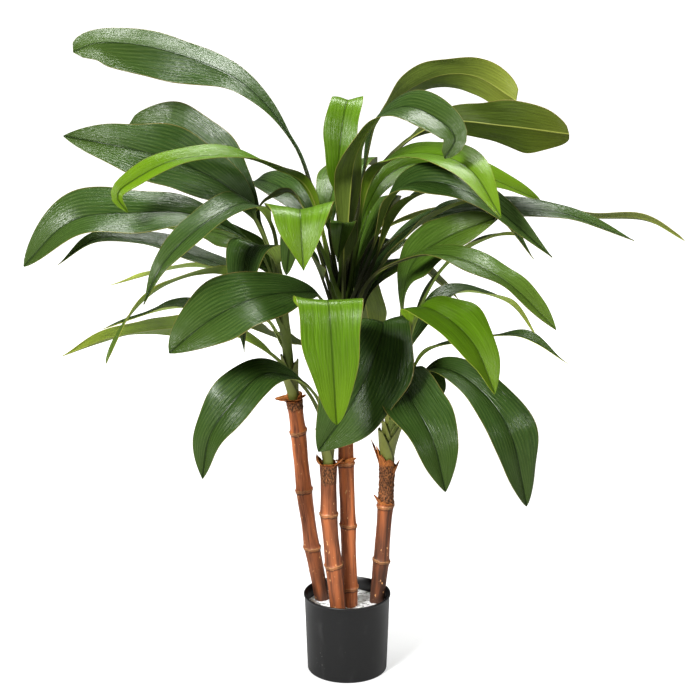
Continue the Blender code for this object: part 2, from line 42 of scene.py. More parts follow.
import bpy
from bpy.props import FloatProperty, FloatVectorProperty, IntProperty, PointerProperty
from mathutils import Quaternion, Vector, noise

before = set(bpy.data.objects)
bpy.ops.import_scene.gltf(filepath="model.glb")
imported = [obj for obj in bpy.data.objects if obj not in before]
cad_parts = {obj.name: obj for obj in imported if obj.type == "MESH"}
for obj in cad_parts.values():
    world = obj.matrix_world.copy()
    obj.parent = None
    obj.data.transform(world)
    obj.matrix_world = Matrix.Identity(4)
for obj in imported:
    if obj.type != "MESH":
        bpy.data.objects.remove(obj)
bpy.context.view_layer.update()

CM = 0.01
GAP = 0.0003
UP = Vector((0, 0, 1))
END_MARGIN = 1e-6

# Canes: faces round and along them, their sockets and how far they waist between joints
CANE_SIDES = 40
CANE_STEP = 0.0012
CANE_WAIST = 0.10
JOINT_BLEND = 0.12
SOCKET_CLEARANCE = 0.0006
SOCKET_DEPTH = 0.015

# The raised rings at their joints, in metres above the joint and in thickness, with the
# painted shadow below each ring and the painted shade in the crease at each joint
NODE_PROUD = 0.0020
NODE_FLARE = 0.0042
RING_SLANT = 0.0020
RING_WAVE = 0.0026
UPPER_LIP = 0.0012
UPPER_LIP_THICKNESS = 0.0008
LOWER_LIP = -0.0016
LOWER_LIP_THICKNESS = 0.0009
RING_SHADOW = -0.0042
SHADOW_WIDTH = 0.0016
CREASE_WIDTH = 0.0006

# Bumps of a cane's skin: height in metres, fineness round it, fineness along it, seed shift
SKIN_BUMPS = ((0.0007, 1.5, 28, 7), (0.0003, 6, 60, 3))

# Cork: how proud and how rough it is in metres, and how far its edge fades, in centimetres
# up the cane and in degrees round it
CORK_PROUD = 0.0006
CORK_ROUGH = 0.0016
CORK_EDGE = 0.35
CORK_EDGE_TURN = 8

# Sheets of the husks: thickness, depth of their feet in the cane, crinkles, and how their
# two sizes of tears run: a share of the length, and how many to a sheet
HUSK_THICKNESS = 0.0010
FLAP_ROWS = 16
FLAP_SUNK = 0.0010
FLAP_CRINKLE = 0.0008
WIDE_TEARS = (0.35, 6)
FINE_TEARS = (0.15, 17)

# Pot and fill
POT_SIDES = 128
POT_FLOOR = 0.0030
POT_BEND = 0.0025
POT_BEND_STEPS = 4
LIP_HEIGHT = 0.0040
LIP_PROUD = 0.0012
LIP_ROUNDING = 0.0009
INNER_ROUNDING = 0.0008
FILL_SIDES = 96
FILL_RINGS = 46
RIDGE_SPOT = (0.025, -0.045)
RIDGE_RISE = 0.0016
RIDGE_SPREAD = 0.0012

# How far in and down from the rim's edge the pot's lip is rounded
LIP_CORNER = ((0.0, 0.0009), (0.0004, 0.0002), (0.0010, 0.0))

# Clods of the grit: height in metres, how many to a metre, seed
GRIT_CLODS = ((0.0016, 70, 1.7), (0.0008, 210, 4.1), (0.0004, 600, 8.3))

# Points across a leaf, from its left edge (-1) to its right edge (1), closer by the rib
ACROSS = tuple(math.copysign(abs(step / 10) ** 1.15, step) for step in range(-10, 11))

# Leaves: half-widths and thicknesses in metres, the share of the stalk that clasps the stem,
# the share of the blade over which its rib thins, folds, waves and the sweep of the veins
STALK_ROWS = 12
STALK_HALF_WIDTH = 0.0036
TIP_HALF_WIDTH = 0.0008
BLADE_EDGE_THICKNESS = 0.0008
BLADE_RIB_THICKNESS = 0.0017
STALK_RIB_THICKNESS = 0.0032
SHEATH_SHARE = 0.5
RIB_SHARE = 0.33
STALK_FOLD = 24
CHANNEL_STEEPNESS = 1.6
EDGE_WOBBLE = 0.06
WOBBLES_PER_BLADE = 2.7
WAVE_HEIGHT = 0.0030
WAVES_PER_BLADE = 2.3
EDGE_LAG = 1.9
TIP_CROWDING = 0.92
VEIN_SWEEP = 0.11
GOLDEN_ANGLE = math.pi * (3 - math.sqrt(5))

# Ripples and buckles of a blade: how many along it and across it, and how they gather
# towards its edges
RIPPLES = (9, 1.6, 0.7)
BUCKLES = (3.2, 0.9, 1.2)

# Where a leaf clasps its stem: how far down, how far round on each side and how thick
CLASP_ROWS = 7
CLASP_DROP = 0.055
CLASP_LOWEST = 0.018
CLASP_THICKNESS = 0.0010
CLASP_PLACE = -0.30
ROOT_STANDOFF = 0.0012
ROOT_WRAP = math.radians(78)
FULL_WRAP = math.radians(165)

# Finishes: roughness, and the depth of each relief in metres
ROUGHNESS = {
    "dark": 0.31, "mid": 0.32, "lime": 0.36, "under": 0.50, "cane": 0.42, "husk": 0.62, "crown": 0.40,
    "pot": 0.41, "grit": 0.80}
RELIEF = {
    "vein": 0.00007, "rib": 0.0005, "ridge": 0.0006, "dent": 0.0006, "cane": 0.00025, "cork": 0.0022,
    "husk": 0.0004, "crown": 0.0002, "pot": 0.00006, "grain": 0.0010, "clod": 0.0030}
LEAF_SPECULAR = 0.24
POT_SPECULAR = 0.6
DRY_EDGE = (0.20, 0.15, 0.05)
PALE_VEIN = (0.42, 0.55, 0.15)
TIP_FACTORS = (2.4, 1.9, 1.5)
WHITE = (1, 1, 1)
BLADE_INPUTS = (
    "Skin", "Patch", "Vein", "Rib", "Edge", "Stalk", "Tip", "Vein Spacing", "Vein Strength", "Rib Rise",
    "Base Roughness")
COLOUR_SOCKETS = (*BLADE_INPUTS[:7], "Colour")

# Studio: each light's place, the point it faces, its width and its share of the key's power;
# the distances from the pot over which the floor turns to its far glow; the camera's optics
LIGHTS = {
    "key": ((-2.1, -3.2, 2.9), (0, 0, 0.7), 1.1, 1.0),
    "fill_light": ((2.8, -2.4, 2.0), (0, 0, 0.7), 1.0, 0.20),
    "top_light": ((0.4, 0.9, 3.4), (0, 0, 0.8), 1.2, 0.36),
}
GLOW_REACH = (1.0, 2.6)
CAMERA_LENS = 80
CAMERA_SENSOR = 36
CAMERA_ASIDE = 0.005

# Blade shapes: the share of the length at which the blade is widest, how slowly it
# widens from its base and how slowly it narrows to its tip.
SHAPES = {
    "lance": (0.42, 1.0, 1.0),
    "broad": (0.50, 1.0, 0.8),
    "spoon": (0.66, 1.3, 0.75),
    "strap": (0.45, 0.8, 0.45),
    "taper": (0.30, 0.8, 1.2),
    "drop": (0.30, 0.7, 0.65),
    "oval": (0.68, 1.2, 0.52),
    "blunt": (0.74, 1.2, 0.42),
    "paddle": (0.74, 2.2, 0.45),
}

Stem = namedtuple("Stem", "foot joints cane_radius husk_height crown crown_radii")
Leaf = namedtuple("Leaf", "root stalk width shape fold roll twist tone path")

# Each stem in centimetres: the cane's foot and its joints up to the cane's top, then
# the crown stem's bends above the husk and its radius at the bottom and the top.
STEMS = {
    "left": Stem(
        foot=(-2.9, 3.1, 3.1),
        joints=((-6.1, 2.4, 21.3), (-7.4, 2.0, 31.8), (-8.3, 1.6, 42.5), (-8.9, 1.4, 48.0)),
        cane_radius=1.30, husk_height=3.0,
        crown=((-9.8, 1.1, 55.0), (-10.3, 1.0, 62.0), (-11.0, 1.0, 68.0)), crown_radii=(0.80, 0.50)),
    "front": Stem(
        foot=(-0.6, -4.0, 3.1),
        joints=((-2.3, -3.9, 20.6), (-3.1, -4.0, 29.6), (-3.1, -4.2, 38.5)),
        cane_radius=1.30, husk_height=2.4,
        crown=((-3.2, -4.5, 43.5), (-3.5, -5.0, 53.0)), crown_radii=(0.80, 0.50)),
    "centre": Stem(
        foot=(0.7, -0.5, 3.1),
        joints=((0.4, -0.3, 15.0), (0.2, 0.0, 26.2), (-0.2, 0.5, 37.0), (-0.3, 0.9, 47.0)),
        cane_radius=1.30, husk_height=2.6,
        crown=((-0.5, 1.0, 58.0), (-1.0, 1.0, 68.5)), crown_radii=(0.85, 0.50)),
    "right": Stem(
        foot=(4.3, 1.2, 3.1),
        joints=((5.9, 1.5, 19.2), (6.6, 1.8, 29.1), (6.9, 2.0, 36.5)),
        cane_radius=1.30, husk_height=3.2,
        crown=((7.5, 1.6, 43.5), (8.4, 0.8, 53.0)), crown_radii=(0.90, 0.55)),
}

# The leaves of each crown, in centimetres and degrees: the height of the root on the
# crown stem, the stalk's length, the blade's width and shape, how far its halves fold up,
# its roll about the midrib, the further twist to the tip, its tone, and the points that
# the midrib bends through from the root to the tip.
LEAVES = {
    "centre": (
        Leaf(66, 21, 9.5, "paddle", -25, -50, 0, "dark",
             ((-6.5, 5, 85.5), (-10, 7, 92.5), (-14.5, 8.5, 98), (-21, 10, 102.5),
              (-31.5, 11, 106), (-40.5, 10, 107), (-45, 8, 105.5))),
        Leaf(62, 12, 5, "spoon", 15, 40, -92, "lime",
             ((-5.5, 0, 82.5), (-11.5, -5, 88), (-17.5, -10, 90.5), (-26, -15, 90.5),
              (-32.5, -18, 87.5), (-34.5, -19, 85.5), (-33, -19, 83))),
        Leaf(60.5, 14, 8, "broad", 10, -15, 0, "dark",
             ((-7, 7, 79), (-15, 18, 83), (-20, 31, 78))),
        Leaf(64.5, 12, 8, "broad", 10, 0, 0, "mid",
             ((-3, 8, 80), (1, 20, 86), (5, 31, 84))),
        Leaf(65, 14, 10.5, "lance", 8, 0, 0, "lime",
             ((-4, -4, 74.5), (-7, -12, 82), (-7, -18, 82), (-6.5, -21, 74.5))),
        Leaf(60.5, 12, 4.5, "lance", 10, 0, 0, "mid",
             ((-0.5, -4, 74), (-0.5, -7, 79.5), (-1, -8.5, 77.5), (-1.5, -8.5, 73.5))),
        Leaf(59.5, 11, 5, "drop", 10, -38, 0, "dark",
             ((-4, -3, 70), (-6.5, -9, 76), (-8.5, -11.5, 78), (-9.5, -11.5, 72))),
        Leaf(68, 15, 5.5, "strap", 10, 0, 0, "lime",
             ((-1.5, -1, 84), (-1, -1.5, 92), (0, 2, 98), (1, 10, 96))),
        Leaf(66.5, 9, 7.5, "strap", 12, -8, 62, "dark",
             ((0.5, -3, 84), (1.5, -6.5, 90.5), (4.5, -10, 96), (9, -14.5, 98.5),
              (13.5, -19, 97), (16, -21.5, 94.5), (14.5, -22, 91.5))),
        Leaf(67, 19, 8.5, "blunt", 0, 32, -115, "dark",
             ((3.5, 10, 89), (5.5, 12, 94.5), (9.5, 13.5, 98.5), (15.5, 12, 101.5),
              (21.5, 9, 101.5), (27.5, 3, 98))),
        Leaf(63, 31, 8.5, "oval", 6, -70, 0, "mid",
             ((2, 4, 80), (7, 6, 88.5), (15.5, 7, 94), (25.5, 3, 94), (35, -6, 93.5))),
        Leaf(64.5, 15, 7.5, "broad", 12, 20, 0, "lime",
             ((3, 1.5, 83), (7, -2.5, 89), (13, -11.5, 91), (18.5, -20, 89.5), (22.5, -27, 83.5))),
        Leaf(60, 15, 8, "spoon", 10, 38, 0, "lime",
             ((3, 7, 79), (10, 18, 85.5), (22, 27, 83.5), (35.5, 31, 77.5))),
        Leaf(62.5, 15, 7, "lance", 15, 28, 0, "dark",
             ((4, -5, 75), (7.5, -10, 84.5), (13, -14, 87), (21, -18, 84.5), (31, -21, 76.5))),
        Leaf(58.5, 20, 5.5, "strap", 8, -25, 0, "dark",
             ((4, 3, 75), (15.5, 8, 79), (29.5, 12, 78.5), (40.5, 12, 77.5), (49.5, 8, 78), (56, 3, 75))),
        Leaf(61.5, 15, 6.5, "lance", 8, 20, 0, "dark",
             ((5, 1, 73), (13.5, 1, 79), (25, -1, 81), (34.5, -3, 80.5), (46, -6, 76.5))),
        Leaf(59.5, 15, 6, "lance", 15, 10, 0, "dark",
             ((5, -2, 74), (9, -5, 82), (14.5, -9, 85), (22, -12, 83.5), (29, -14, 75))),
        Leaf(57.5, 15, 4.5, "strap", 15, 0, 0, "dark",
             ((4, -1, 69), (11, -3, 78), (20, -3, 82.5), (27, -4, 81))),
        Leaf(56, 18, 6.5, "spoon", 10, 10, 0, "mid",
             ((3, -5, 69), (9, -12, 74.5), (16, -17, 76), (24, -22, 73), (31.5, -24, 66))),
        Leaf(54, 8, 7, "broad", 10, 30, 0, "mid",
             ((-4, 5, 56.5), (-9.5, 8, 56.5), (-18.5, 11, 59))),
        Leaf(57.5, 12, 8, "broad", 10, 0, 0, "mid",
             ((1, 6, 70), (5, 16, 80), (8, 27, 76))),
        Leaf(55, 10, 8, "broad", 10, 0, 0, "dark",
             ((2, 5, 66), (7, 13, 73), (14, 24, 68))),
        Leaf(53, 12, 6, "lance", 10, 0, 0, "mid",
             ((4, 7, 66), (11, 16, 69), (20, 23, 61))),
        Leaf(51, 14, 7, "broad", 10, 0, 0, "dark",
             ((-0.5, 6, 64), (2, 12, 66), (4, 19, 57), (4, 21, 51))),
        Leaf(57, 12, 11, "spoon", 8, -35, 0, "dark",
             ((-4, -6.5, 67), (-7.5, -13, 69.5), (-14, -20, 70), (-20.5, -24, 67.5), (-26.5, -26.5, 63))),
    ),
    "left": (
        Leaf(66, 12, 12.5, "oval", 8, -70, 0, "dark",
             ((-13, 5, 73), (-17.5, 11, 81.5), (-27, 17, 89), (-38, 21, 92.5))),
        Leaf(67, 12, 10, "broad", 10, -60, 0, "dark",
             ((-13, 1, 74), (-17.5, -1, 83), (-26, -4, 88.5), (-34, -5, 91), (-45, -4, 93))),
        Leaf(66.5, 14, 6, "lance", 12, -15, 0, "dark",
             ((-12, -5, 78.5), (-15.5, -13, 83.5), (-21.5, -21, 81.5), (-27, -26, 76.5), (-30, -27, 70.5))),
        Leaf(63, 14, 9.5, "spoon", 12, -40, 0, "dark",
             ((-14, -3, 74), (-23, -10, 81), (-33.5, -13, 82), (-42.5, -15, 81), (-50, -15, 74))),
        Leaf(62, 8, 6, "lance", 10, -20, 0, "dark",
             ((-14, 0, 68.5), (-22, -3, 72.5), (-31.5, -5, 76), (-39.5, -7, 77), (-46, -8, 73))),
        Leaf(59, 8, 4.5, "lance", 10, 5, 0, "dark",
             ((-14, 5, 66), (-26, 12, 69), (-42, 18, 64.5))),
        Leaf(60, 8, 4, "strap", 10, 20, 0, "mid",
             ((-14, -1, 67.5), (-21, -7, 71.5), (-28.5, -12, 70.5), (-34, -15, 66), (-37.5, -17, 59))),
        Leaf(61, 12, 9.5, "taper", 8, 0, 0, "dark",
             ((-11, -2.5, 71), (-13.5, -8, 76), (-16, -10.5, 74), (-16.5, -9.5, 59))),
        Leaf(61, 8, 7, "lance", 10, -20, 0, "mid",
             ((-12, 6, 68), (-20, 12, 74), (-32, 17, 75))),
        Leaf(57, 8, 5, "lance", 10, 0, 0, "dark",
             ((-15, 5, 62), (-29, 6, 63), (-41, 3, 60))),
    ),
    "front": (
        Leaf(46, 14, 7.5, "lance", 8, 35, 0, "mid",
             ((-7, -5, 52), (-14, -6, 59), (-23.5, -7, 62.5), (-36.5, -8, 61.5), (-46, -8, 58))),
        Leaf(45, 12, 7.5, "broad", 12, -30, 0, "dark",
             ((-5, -10, 52), (-8.5, -14, 56), (-13, -18, 57.5), (-17, -21, 54.5),
              (-21, -22, 49), (-22.5, -21, 41.5))),
        Leaf(50, 18, 10, "drop", 2, 0, 0, "lime",
             ((-3, -9, 57.5), (-3, -20, 69), (-2.5, -26, 68.5), (-1.5, -27, 52))),
        Leaf(49, 12, 13, "broad", 6, 0, 0, "dark",
             ((1, -7, 56), (5.5, -10, 64), (5, -13, 61), (1.5, -16.5, 53.5), (-4.5, -16.5, 44.5))),
    ),
    "right": (
        Leaf(52, 12, 8, "broad", 8, 55, 0, "mid",
             ((9, -2, 64), (10.5, -5.5, 72.5), (15.5, -9.5, 77.5), (24, -12, 81.5))),
        Leaf(48, 12, 5.5, "lance", 10, -15, 0, "mid",
             ((11, 3, 60), (16, 4, 70), (24, 6, 75), (31.5, 8, 75))),
        Leaf(46, 10, 6, "lance", 12, 0, 0, "dark",
             ((11, 5, 57), (18, 12, 64), (28, 16, 62), (34, 15, 55))),
        Leaf(44.5, 10, 4.5, "lance", 10, 0, 0, "dark",
             ((12, -1, 56), (18.5, -4, 59.5), (28, -9, 61.5), (35, -13, 58))),
        Leaf(47, 20, 9.5, "broad", 10, 10, 0, "lime",
             ((10, -5, 58.5), (11, -14, 67), (15, -19, 67), (19.5, -22, 63), (22.5, -24, 56))),
        Leaf(43, 8, 10.5, "broad", 10, 0, 0, "dark",
             ((8.5, -4, 51), (8, -9, 55.5), (10.5, -15, 52), (13.5, -19, 47), (15.5, -20, 39))),
        Leaf(41.5, 8, 8.5, "spoon", 10, 20, 0, "dark",
             ((11, -2, 51), (15, -6, 55.5), (21, -11, 53.5), (26, -15, 47), (29, -14, 34.5))),
    ),
}

# Crowns whose stalks are pale; the centre crown's stalks are painted dark as shade in the middle of the plant
PALE_CROWNS = ("left", "front", "right")

# Leaf bases on each crown stem: how many, how far the lowest opens and how far below the
# husk's top it starts, in centimetres; then in metres their spacing, length, gaps and
# thickness, how far round they reach at their ends, how far to the front they turn, how
# much less the higher ones open and how wide the painted shade along their margins is
SHEATHS = {
    "left": (3, 1.20, 2.9), "front": (3, 1.20, 2.4), "centre": (3, 0.40, 1.8), "right": (6, 1.15, 3.1)}
SHEATH_PITCH = 0.0085
SHEATH_LENGTH = 0.062
SHEATH_STEPS = 12
SHEATH_GAP = 0.0004
SHEATH_THICKNESS = 0.0006
SHEATH_END_WRAP = math.radians(42)
SHEATH_FACING = -0.15
SHEATH_CLOSING = 0.75
SHEATH_MARGIN = 0.1

# Small leaves that the part's solids leave out, in the same units as the others
SMALL_LEAVES = (
    ("right", Leaf(44, 7, 6.5, "broad", 10, 0, 0, "dark",
                   ((10, 0, 50), (12, -3, 53.5), (14, -5, 53), (15, -5, 49)))),
    ("centre", Leaf(63, 12, 3.5, "lance", 10, 20, 0, "mid",
                    ((-6, 1, 78), (-9, 2, 83), (-13, 2, 82), (-15, 2, 80)))),
)

# Torn sheets of each husk: the height where it starts in centimetres, the way it faces and
# its width in degrees (0 right, -90 front, 180 left), its length in centimetres, how far
# it leans from the cane and how far it curls over, in degrees.
HUSKS = {
    "left": (
        (48.0, 90, 130, 1.4, 15, 70), (48.0, 0, 70, 1.0, 30, 50), (48.0, -85, 110, 1.0, 30, 60),
        (48.0, 180, 120, 1.9, 42, 70), (47.7, -120, 80, 1.2, 40, 40), (48.0, -30, 60, 1.3, 10, 20)),
    "front": (
        (38.4, 90, 130, 0.7, 30, 30), (38.4, -90, 120, 0.4, 10, 20),
        (38.4, 180, 100, 1.9, 72, -100), (38.4, -10, 50, 1.6, 60, -20)),
    "centre": (
        (46.9, 90, 130, 1.0, 20, 40), (46.9, -90, 130, 0.8, 30, 40), (46.9, 180, 90, 1.2, 40, 50),
        (46.9, 0, 90, 1.0, 40, 50), (37.2, -45, 120, 1.4, 25, 30), (37.3, -120, 60, 1.6, 60, -10)),
    "right": (
        (36.0, 90, 130, 2.0, 8, 14), (34.2, -15, 90, 2.8, 12, 8), (35.0, -80, 90, 2.4, 7, 8),
        (35.2, -130, 80, 2.9, 8, 8), (35.4, 175, 90, 3.4, 10, 4), (35.6, 170, 40, 4.3, 17, 6),
        (29.2, -155, 80, 1.9, 24, 10), (29.0, -60, 110, 0.9, 22, 20), (28.9, -110, 60, 1.3, 16, 10)),
}

# Each cane's girth at its joints, as a share of its stem's radius
CANE_GIRTH = {"left": 1.07, "front": 1.14, "centre": 1.08, "right": 1.08}

# How dark each cane is painted all over and towards its foot, as painted shade, the height in
# centimetres where that darkening starts, and the height in metres of the right cane's dark old skin
PAINTED_CANE_SHADE = {"left": (0.00, 1.75), "front": (0.34, 0.3), "centre": (0.02, 0.5), "right": (0.14, 1.9)}
LOW_SHADE_HEIGHT = 34.0
AGED_TOP = 0.29
DARKEST = 0.92
DARKEST_AGED = 0.94

# The split at the right cane's front, painted as a dark line of shade: how far to the right
# it lies and its half-width, both as shares of the cane's radius
SPLIT_ASIDE = 0.45
SPLIT_WIDTH = 0.10

# Where each cane's smooth skin gives way to cork: the heights in centimetres and how
# far the patch reaches round the cane from the front, in degrees.
CORK = {
    "left": (46.3, 48.2, 180), "front": (35.1, 38.5, 58), "centre": (46.0, 47.2, 180),
    "right": (29.4, 36.8, 180)}


def colour(name, description, default):
    return FloatVectorProperty(
        name=name, description=description, default=default, size=3, min=0, max=1, subtype="COLOR")


def number(name, description, default, **kind):
    return FloatProperty(name=name, description=description, default=default, **kind)


def length(name, description, default):
    return number(name, description, default, min=0, unit="LENGTH")


class CordylineLeafSettings(bpy.types.PropertyGroup):
    """Colours and fineness of the leaves."""

    dark: colour("Dark", "Upper side of the dark leaves", (0.018, 0.039, 0.008))
    mid: colour("Mid", "Upper side of the mid-green leaves", (0.036, 0.070, 0.009))
    lime: colour("Lime", "Upper side of the lime leaves", (0.050, 0.104, 0.002))
    # Undersides: their own paler green, painted brighter still as light shining through the thin leaves
    under_dark: colour("Dark Underside", "Underside of the dark leaves", (0.102, 0.140, 0.026))
    under_mid: colour("Mid Underside", "Underside of the mid-green leaves", (0.043, 0.064, 0.008))
    under_lime: colour("Lime Underside", "Underside of the lime leaves", (0.100, 0.160, 0.010))
    stalk_pale: colour("Pale Stalk", "Stalks of the three lower crowns", (0.190, 0.235, 0.070))
    # The centre crown's stalks are painted dark as shade inside the crown
    stalk_dark: colour("Dark Stalk", "Stalks of the centre crown's dark leaves", (0.026, 0.030, 0.010))
    stalk_mid: colour("Mid Stalk", "Stalks of the centre crown's mid-green leaves", (0.055, 0.066, 0.016))
    stalk_lime: colour("Lime Stalk", "Stalks of the centre crown's lime leaves", (0.090, 0.135, 0.022))
    pale_under: number("Pale Underside", "How much paler undersides low down are", 3.2)
    rib: colour("Rib", "Raised rib on the undersides", (0.300, 0.320, 0.075))
    vein_spacing: length("Vein Spacing", "Distance between fine veins at a blade's widest", 0.0030)
    rows: IntProperty(name="Rows", description="Rows of faces along a blade", default=56, min=12, max=120)
    ripple: length("Ripple", "Height of the small ripples along a blade's edges", 0.0026)
    buckle: length("Buckle", "Height of the broad buckles in a blade", 0.0060)


class CordylineCaneSettings(bpy.types.PropertyGroup):
    """Colours of the canes, husks and crown stems."""

    bark: colour("Bark", "Smooth cane skin", (0.535, 0.171, 0.057))
    bark_dark: colour("Dark Bark", "Dark streaks in the cane skin", (0.135, 0.042, 0.017))
    # Painted shade on the canes, and also the colour of the right cane's dark old skin
    aged_and_shaded: colour("Aged And Shaded Bark", "Dark old skin and painted shade", (0.042, 0.019, 0.011))
    ring: colour("Ring", "Pale ring at each joint", (0.500, 0.270, 0.115))
    cork: colour("Cork", "Rough patches where the skin is torn", (0.200, 0.080, 0.030))
    husk: colour("Husk", "Torn fibre at the canes' tops", (0.560, 0.210, 0.055))
    husk_dark: colour("Dark Husk", "Shaded fibre of the husks", (0.160, 0.050, 0.018))
    crown: colour("Crown Stem", "Pale stems above the husks", (0.260, 0.285, 0.075))


class CordylinePotSettings(bpy.types.PropertyGroup):
    """Sizes and colours of the pot and its fill."""

    rim_radius: length("Rim Radius", "Outer radius of the pot's lip", 0.0750)
    base_radius: length("Base Radius", "Outer radius of the pot's foot", 0.0690)
    height: length("Height", "Height of the pot", 0.1390)
    wall: length("Wall", "Thickness of the pot's wall", 0.0022)
    fill_level: length("Fill Level", "Height of the fill's top", 0.1160)
    plastic: colour("Plastic", "Satin black plastic", (0.0088, 0.0088, 0.0091))
    dust: colour("Dust", "Pale dust and scuffs", (0.300, 0.300, 0.290))
    grit: colour("Grit", "Set grit", (0.860, 0.870, 0.880))
    # Painted shade in the pits of the grit
    grit_pit_shade: colour("Dark Grit", "Pits in the grit", (0.190, 0.190, 0.175))


class CordylineStudioSettings(bpy.types.PropertyGroup):
    """Camera, floor and lights."""

    floor: colour("Floor", "Pale studio floor", (0.450, 0.450, 0.450))
    floor_reach: length("Floor Reach", "Half the width of the floor", 150.0)
    camera_height: length("Camera Height", "Height of the camera", 1.183)
    camera_distance: length("Camera Distance", "Distance of the camera in front of the pot", 2.520)
    pitch: number("Pitch", "How far the camera looks down", math.radians(13.66), subtype="ANGLE")
    surround: number("Surround", "Light from the white surround", 0.11, min=0, max=1)
    floor_glow: number("Floor Glow", "White added to the far floor", 0.97, min=0)
    near_glow: number("Near Glow", "White added to the floor by the pot", 0.42, min=0)
    key: number("Key Light", "Power of the large soft light", 310, min=0, unit="POWER")


class Nodes:
    """Places and joins the nodes of one tree."""

    def __init__(self, tree):
        self.tree = tree

    def feed(self, sockets, values):
        """Links results to sockets, or sets the sockets to plain values and colours."""
        for key, value in values.items():
            if isinstance(value, bpy.types.NodeSocket):
                self.tree.links.new(value, sockets[key])
            elif sockets[key].type == "RGBA":
                sockets[key].default_value = (*value, 1.0)
            else:
                sockets[key].default_value = value

    def add(self, kind, inputs=None, **settings):
        node = self.tree.nodes.new("ShaderNode" + kind)
        count = len(self.tree.nodes)
        node.location = (count % 10 * 190 - 900, count // 10 * -280)
        for name, value in settings.items():
            setattr(node, name, value)
        self.feed(node.inputs, inputs or {})
        return node

    def group(self, tree, values):
        """The results of a shared group that is placed with its own values."""
        return self.add("Group", values, node_tree=tree).outputs

    def math(self, operation, *values):
        return self.add("Math", dict(enumerate(values)), operation=operation).outputs[0]

    def times(self, first, *factors):
        for factor in factors:
            first = self.math("MULTIPLY", first, factor)
        return first

    def plus(self, base, value, factor=None):
        """The base and the value together, or the base and the value times the factor."""
        return self.math("ADD", base, value if factor is None else self.times(value, factor))

    def step(self, value, low, high):
        """0 to 1 as the value goes smoothly from low to high."""
        ends = {"Value": value, "From Min": low, "From Max": high}
        return self.add("MapRange", ends, interpolation_type="SMOOTHSTEP").outputs["Result"]

    def mix(self, share, first, second):
        return self.add("Mix", {0: share, 6: first, 7: second}, data_type="RGBA").outputs[2]

    def noise(self, place, scale, detail=2.0, stretch=None):
        """Noise over a place that may first be multiplied along each axis."""
        if stretch is not None:
            place = self.add("VectorMath", {0: place, 1: stretch}, operation="MULTIPLY").outputs[0]
        return self.add("TexNoise", {"Vector": place, "Scale": scale, "Detail": detail}).outputs["Fac"]

    def spot(self):
        """The place on the piece, in metres."""
        return self.add("TexCoord").outputs["Object"]

    def stored(self, name, output="Fac"):
        """A value, or with "Vector" a vector, that the mesh carries at its points."""
        return self.add("Attribute", attribute_name=name).outputs[output]

    def parts(self, vector):
        return self.add("SeparateXYZ", {0: vector}).outputs

    def joined(self, x, y, z):
        return self.add("CombineXYZ", {0: x, 1: y, 2: z}).outputs[0]


def shared_group(name, inputs, outputs, draw):
    """The node group of that name, drawn when a material first asks for it."""
    tree = bpy.data.node_groups.get(name)
    if tree:
        return tree
    tree = bpy.data.node_groups.new(name, "ShaderNodeTree")
    for way, labels in (("INPUT", inputs), ("OUTPUT", outputs)):
        for label in labels:
            kind = "NodeSocketColor" if label in COLOUR_SOCKETS else "NodeSocketFloat"
            tree.interface.new_socket(name=label, in_out=way, socket_type=kind)
    given, results = tree.nodes.new("NodeGroupInput"), tree.nodes.new("NodeGroupOutput")
    given.location, results.location = (-1150, 0), (1150, 0)
    nodes = Nodes(tree)
    nodes.feed(results.inputs, draw(nodes, given.outputs))
    return tree


def draw_blade_side(nodes, given):
    """One side of a blade: its colour, roughness and relief with veins, rib, edge and stalk."""
    distance, share, off_rib = nodes.parts(nodes.stored("place", "Vector"))
    sweep, grown, across = nodes.parts(nodes.stored("vein", "Vector"))
    spot = nodes.spot()
    off_rib = nodes.math("ABSOLUTE", off_rib)
    lengthwise = nodes.joined(sweep, distance, across)
    broad = nodes.noise(spot, 14)
    swept = nodes.plus(sweep, broad, 0.004)
    count = nodes.math("DIVIDE", swept, given["Vein Spacing"])
    fine = nodes.step(nodes.math("PINGPONG", count, 0.5), 0.26, 0.46)
    bold = nodes.step(nodes.math("PINGPONG", nodes.math("DIVIDE", count, 2.0), 0.5), 0.41, 0.48)
    lively = nodes.step(nodes.noise(lengthwise, 1.0, 3.0, (160, 14, 40)), 0.30, 0.62)
    bold = nodes.times(bold, nodes.plus(0.30, lively, 0.70))
    veins = nodes.math("MAXIMUM", nodes.times(fine, 0.28), bold)
    rib = nodes.step(off_rib, 0.0018, 0.0006)
    crease = nodes.step(off_rib, 0.0100, 0.0)
    edge = nodes.step(nodes.math("ABSOLUTE", share), 0.968, 0.992)
    stalk = nodes.step(distance, 0.030, -0.015)
    blade = nodes.math("SUBTRACT", 1.0, stalk)
    streaks = nodes.step(nodes.noise(lengthwise, 1.0, 4.0, (110, 9, 30)), 0.34, 0.68)
    tint = nodes.mix(streaks, given["Skin"], given["Patch"])
    # The first mask is painted shade: the blade turns darker near its midrib
    for mask, strength, label in (
            (nodes.step(off_rib, 0.018, 0.0), 0.45, "Skin"), (nodes.step(grown, 0.55, 1.0), 0.6, "Tip"),
            (veins, given["Vein Strength"], "Vein"), (edge, 0.6, "Edge"), (rib, 0.7, "Rib"),
            (stalk, 1.0, "Stalk")):
        tint = nodes.mix(nodes.times(mask, strength), tint, given[label])
    cloud = nodes.times(nodes.math("SUBTRACT", broad, 0.5), 0.16)
    glossy = nodes.times(nodes.math("SUBTRACT", streaks, 0.5), 0.08)
    rough = nodes.plus(nodes.plus(given["Base Roughness"], cloud), glossy)
    relief = nodes.times(nodes.plus(fine, bold), RELIEF["vein"])
    relief = nodes.plus(relief, nodes.noise(lengthwise, 1.0, 3.0, (150, 11, 30)), RELIEF["ridge"])
    relief = nodes.plus(relief, nodes.noise(spot, 55), RELIEF["dent"])
    groove = nodes.times(nodes.plus(rib, crease, 0.8), RELIEF["rib"], given["Rib Rise"], blade)
    return {"Colour": tint, "Roughness": rough, "Height": nodes.plus(relief, groove)}


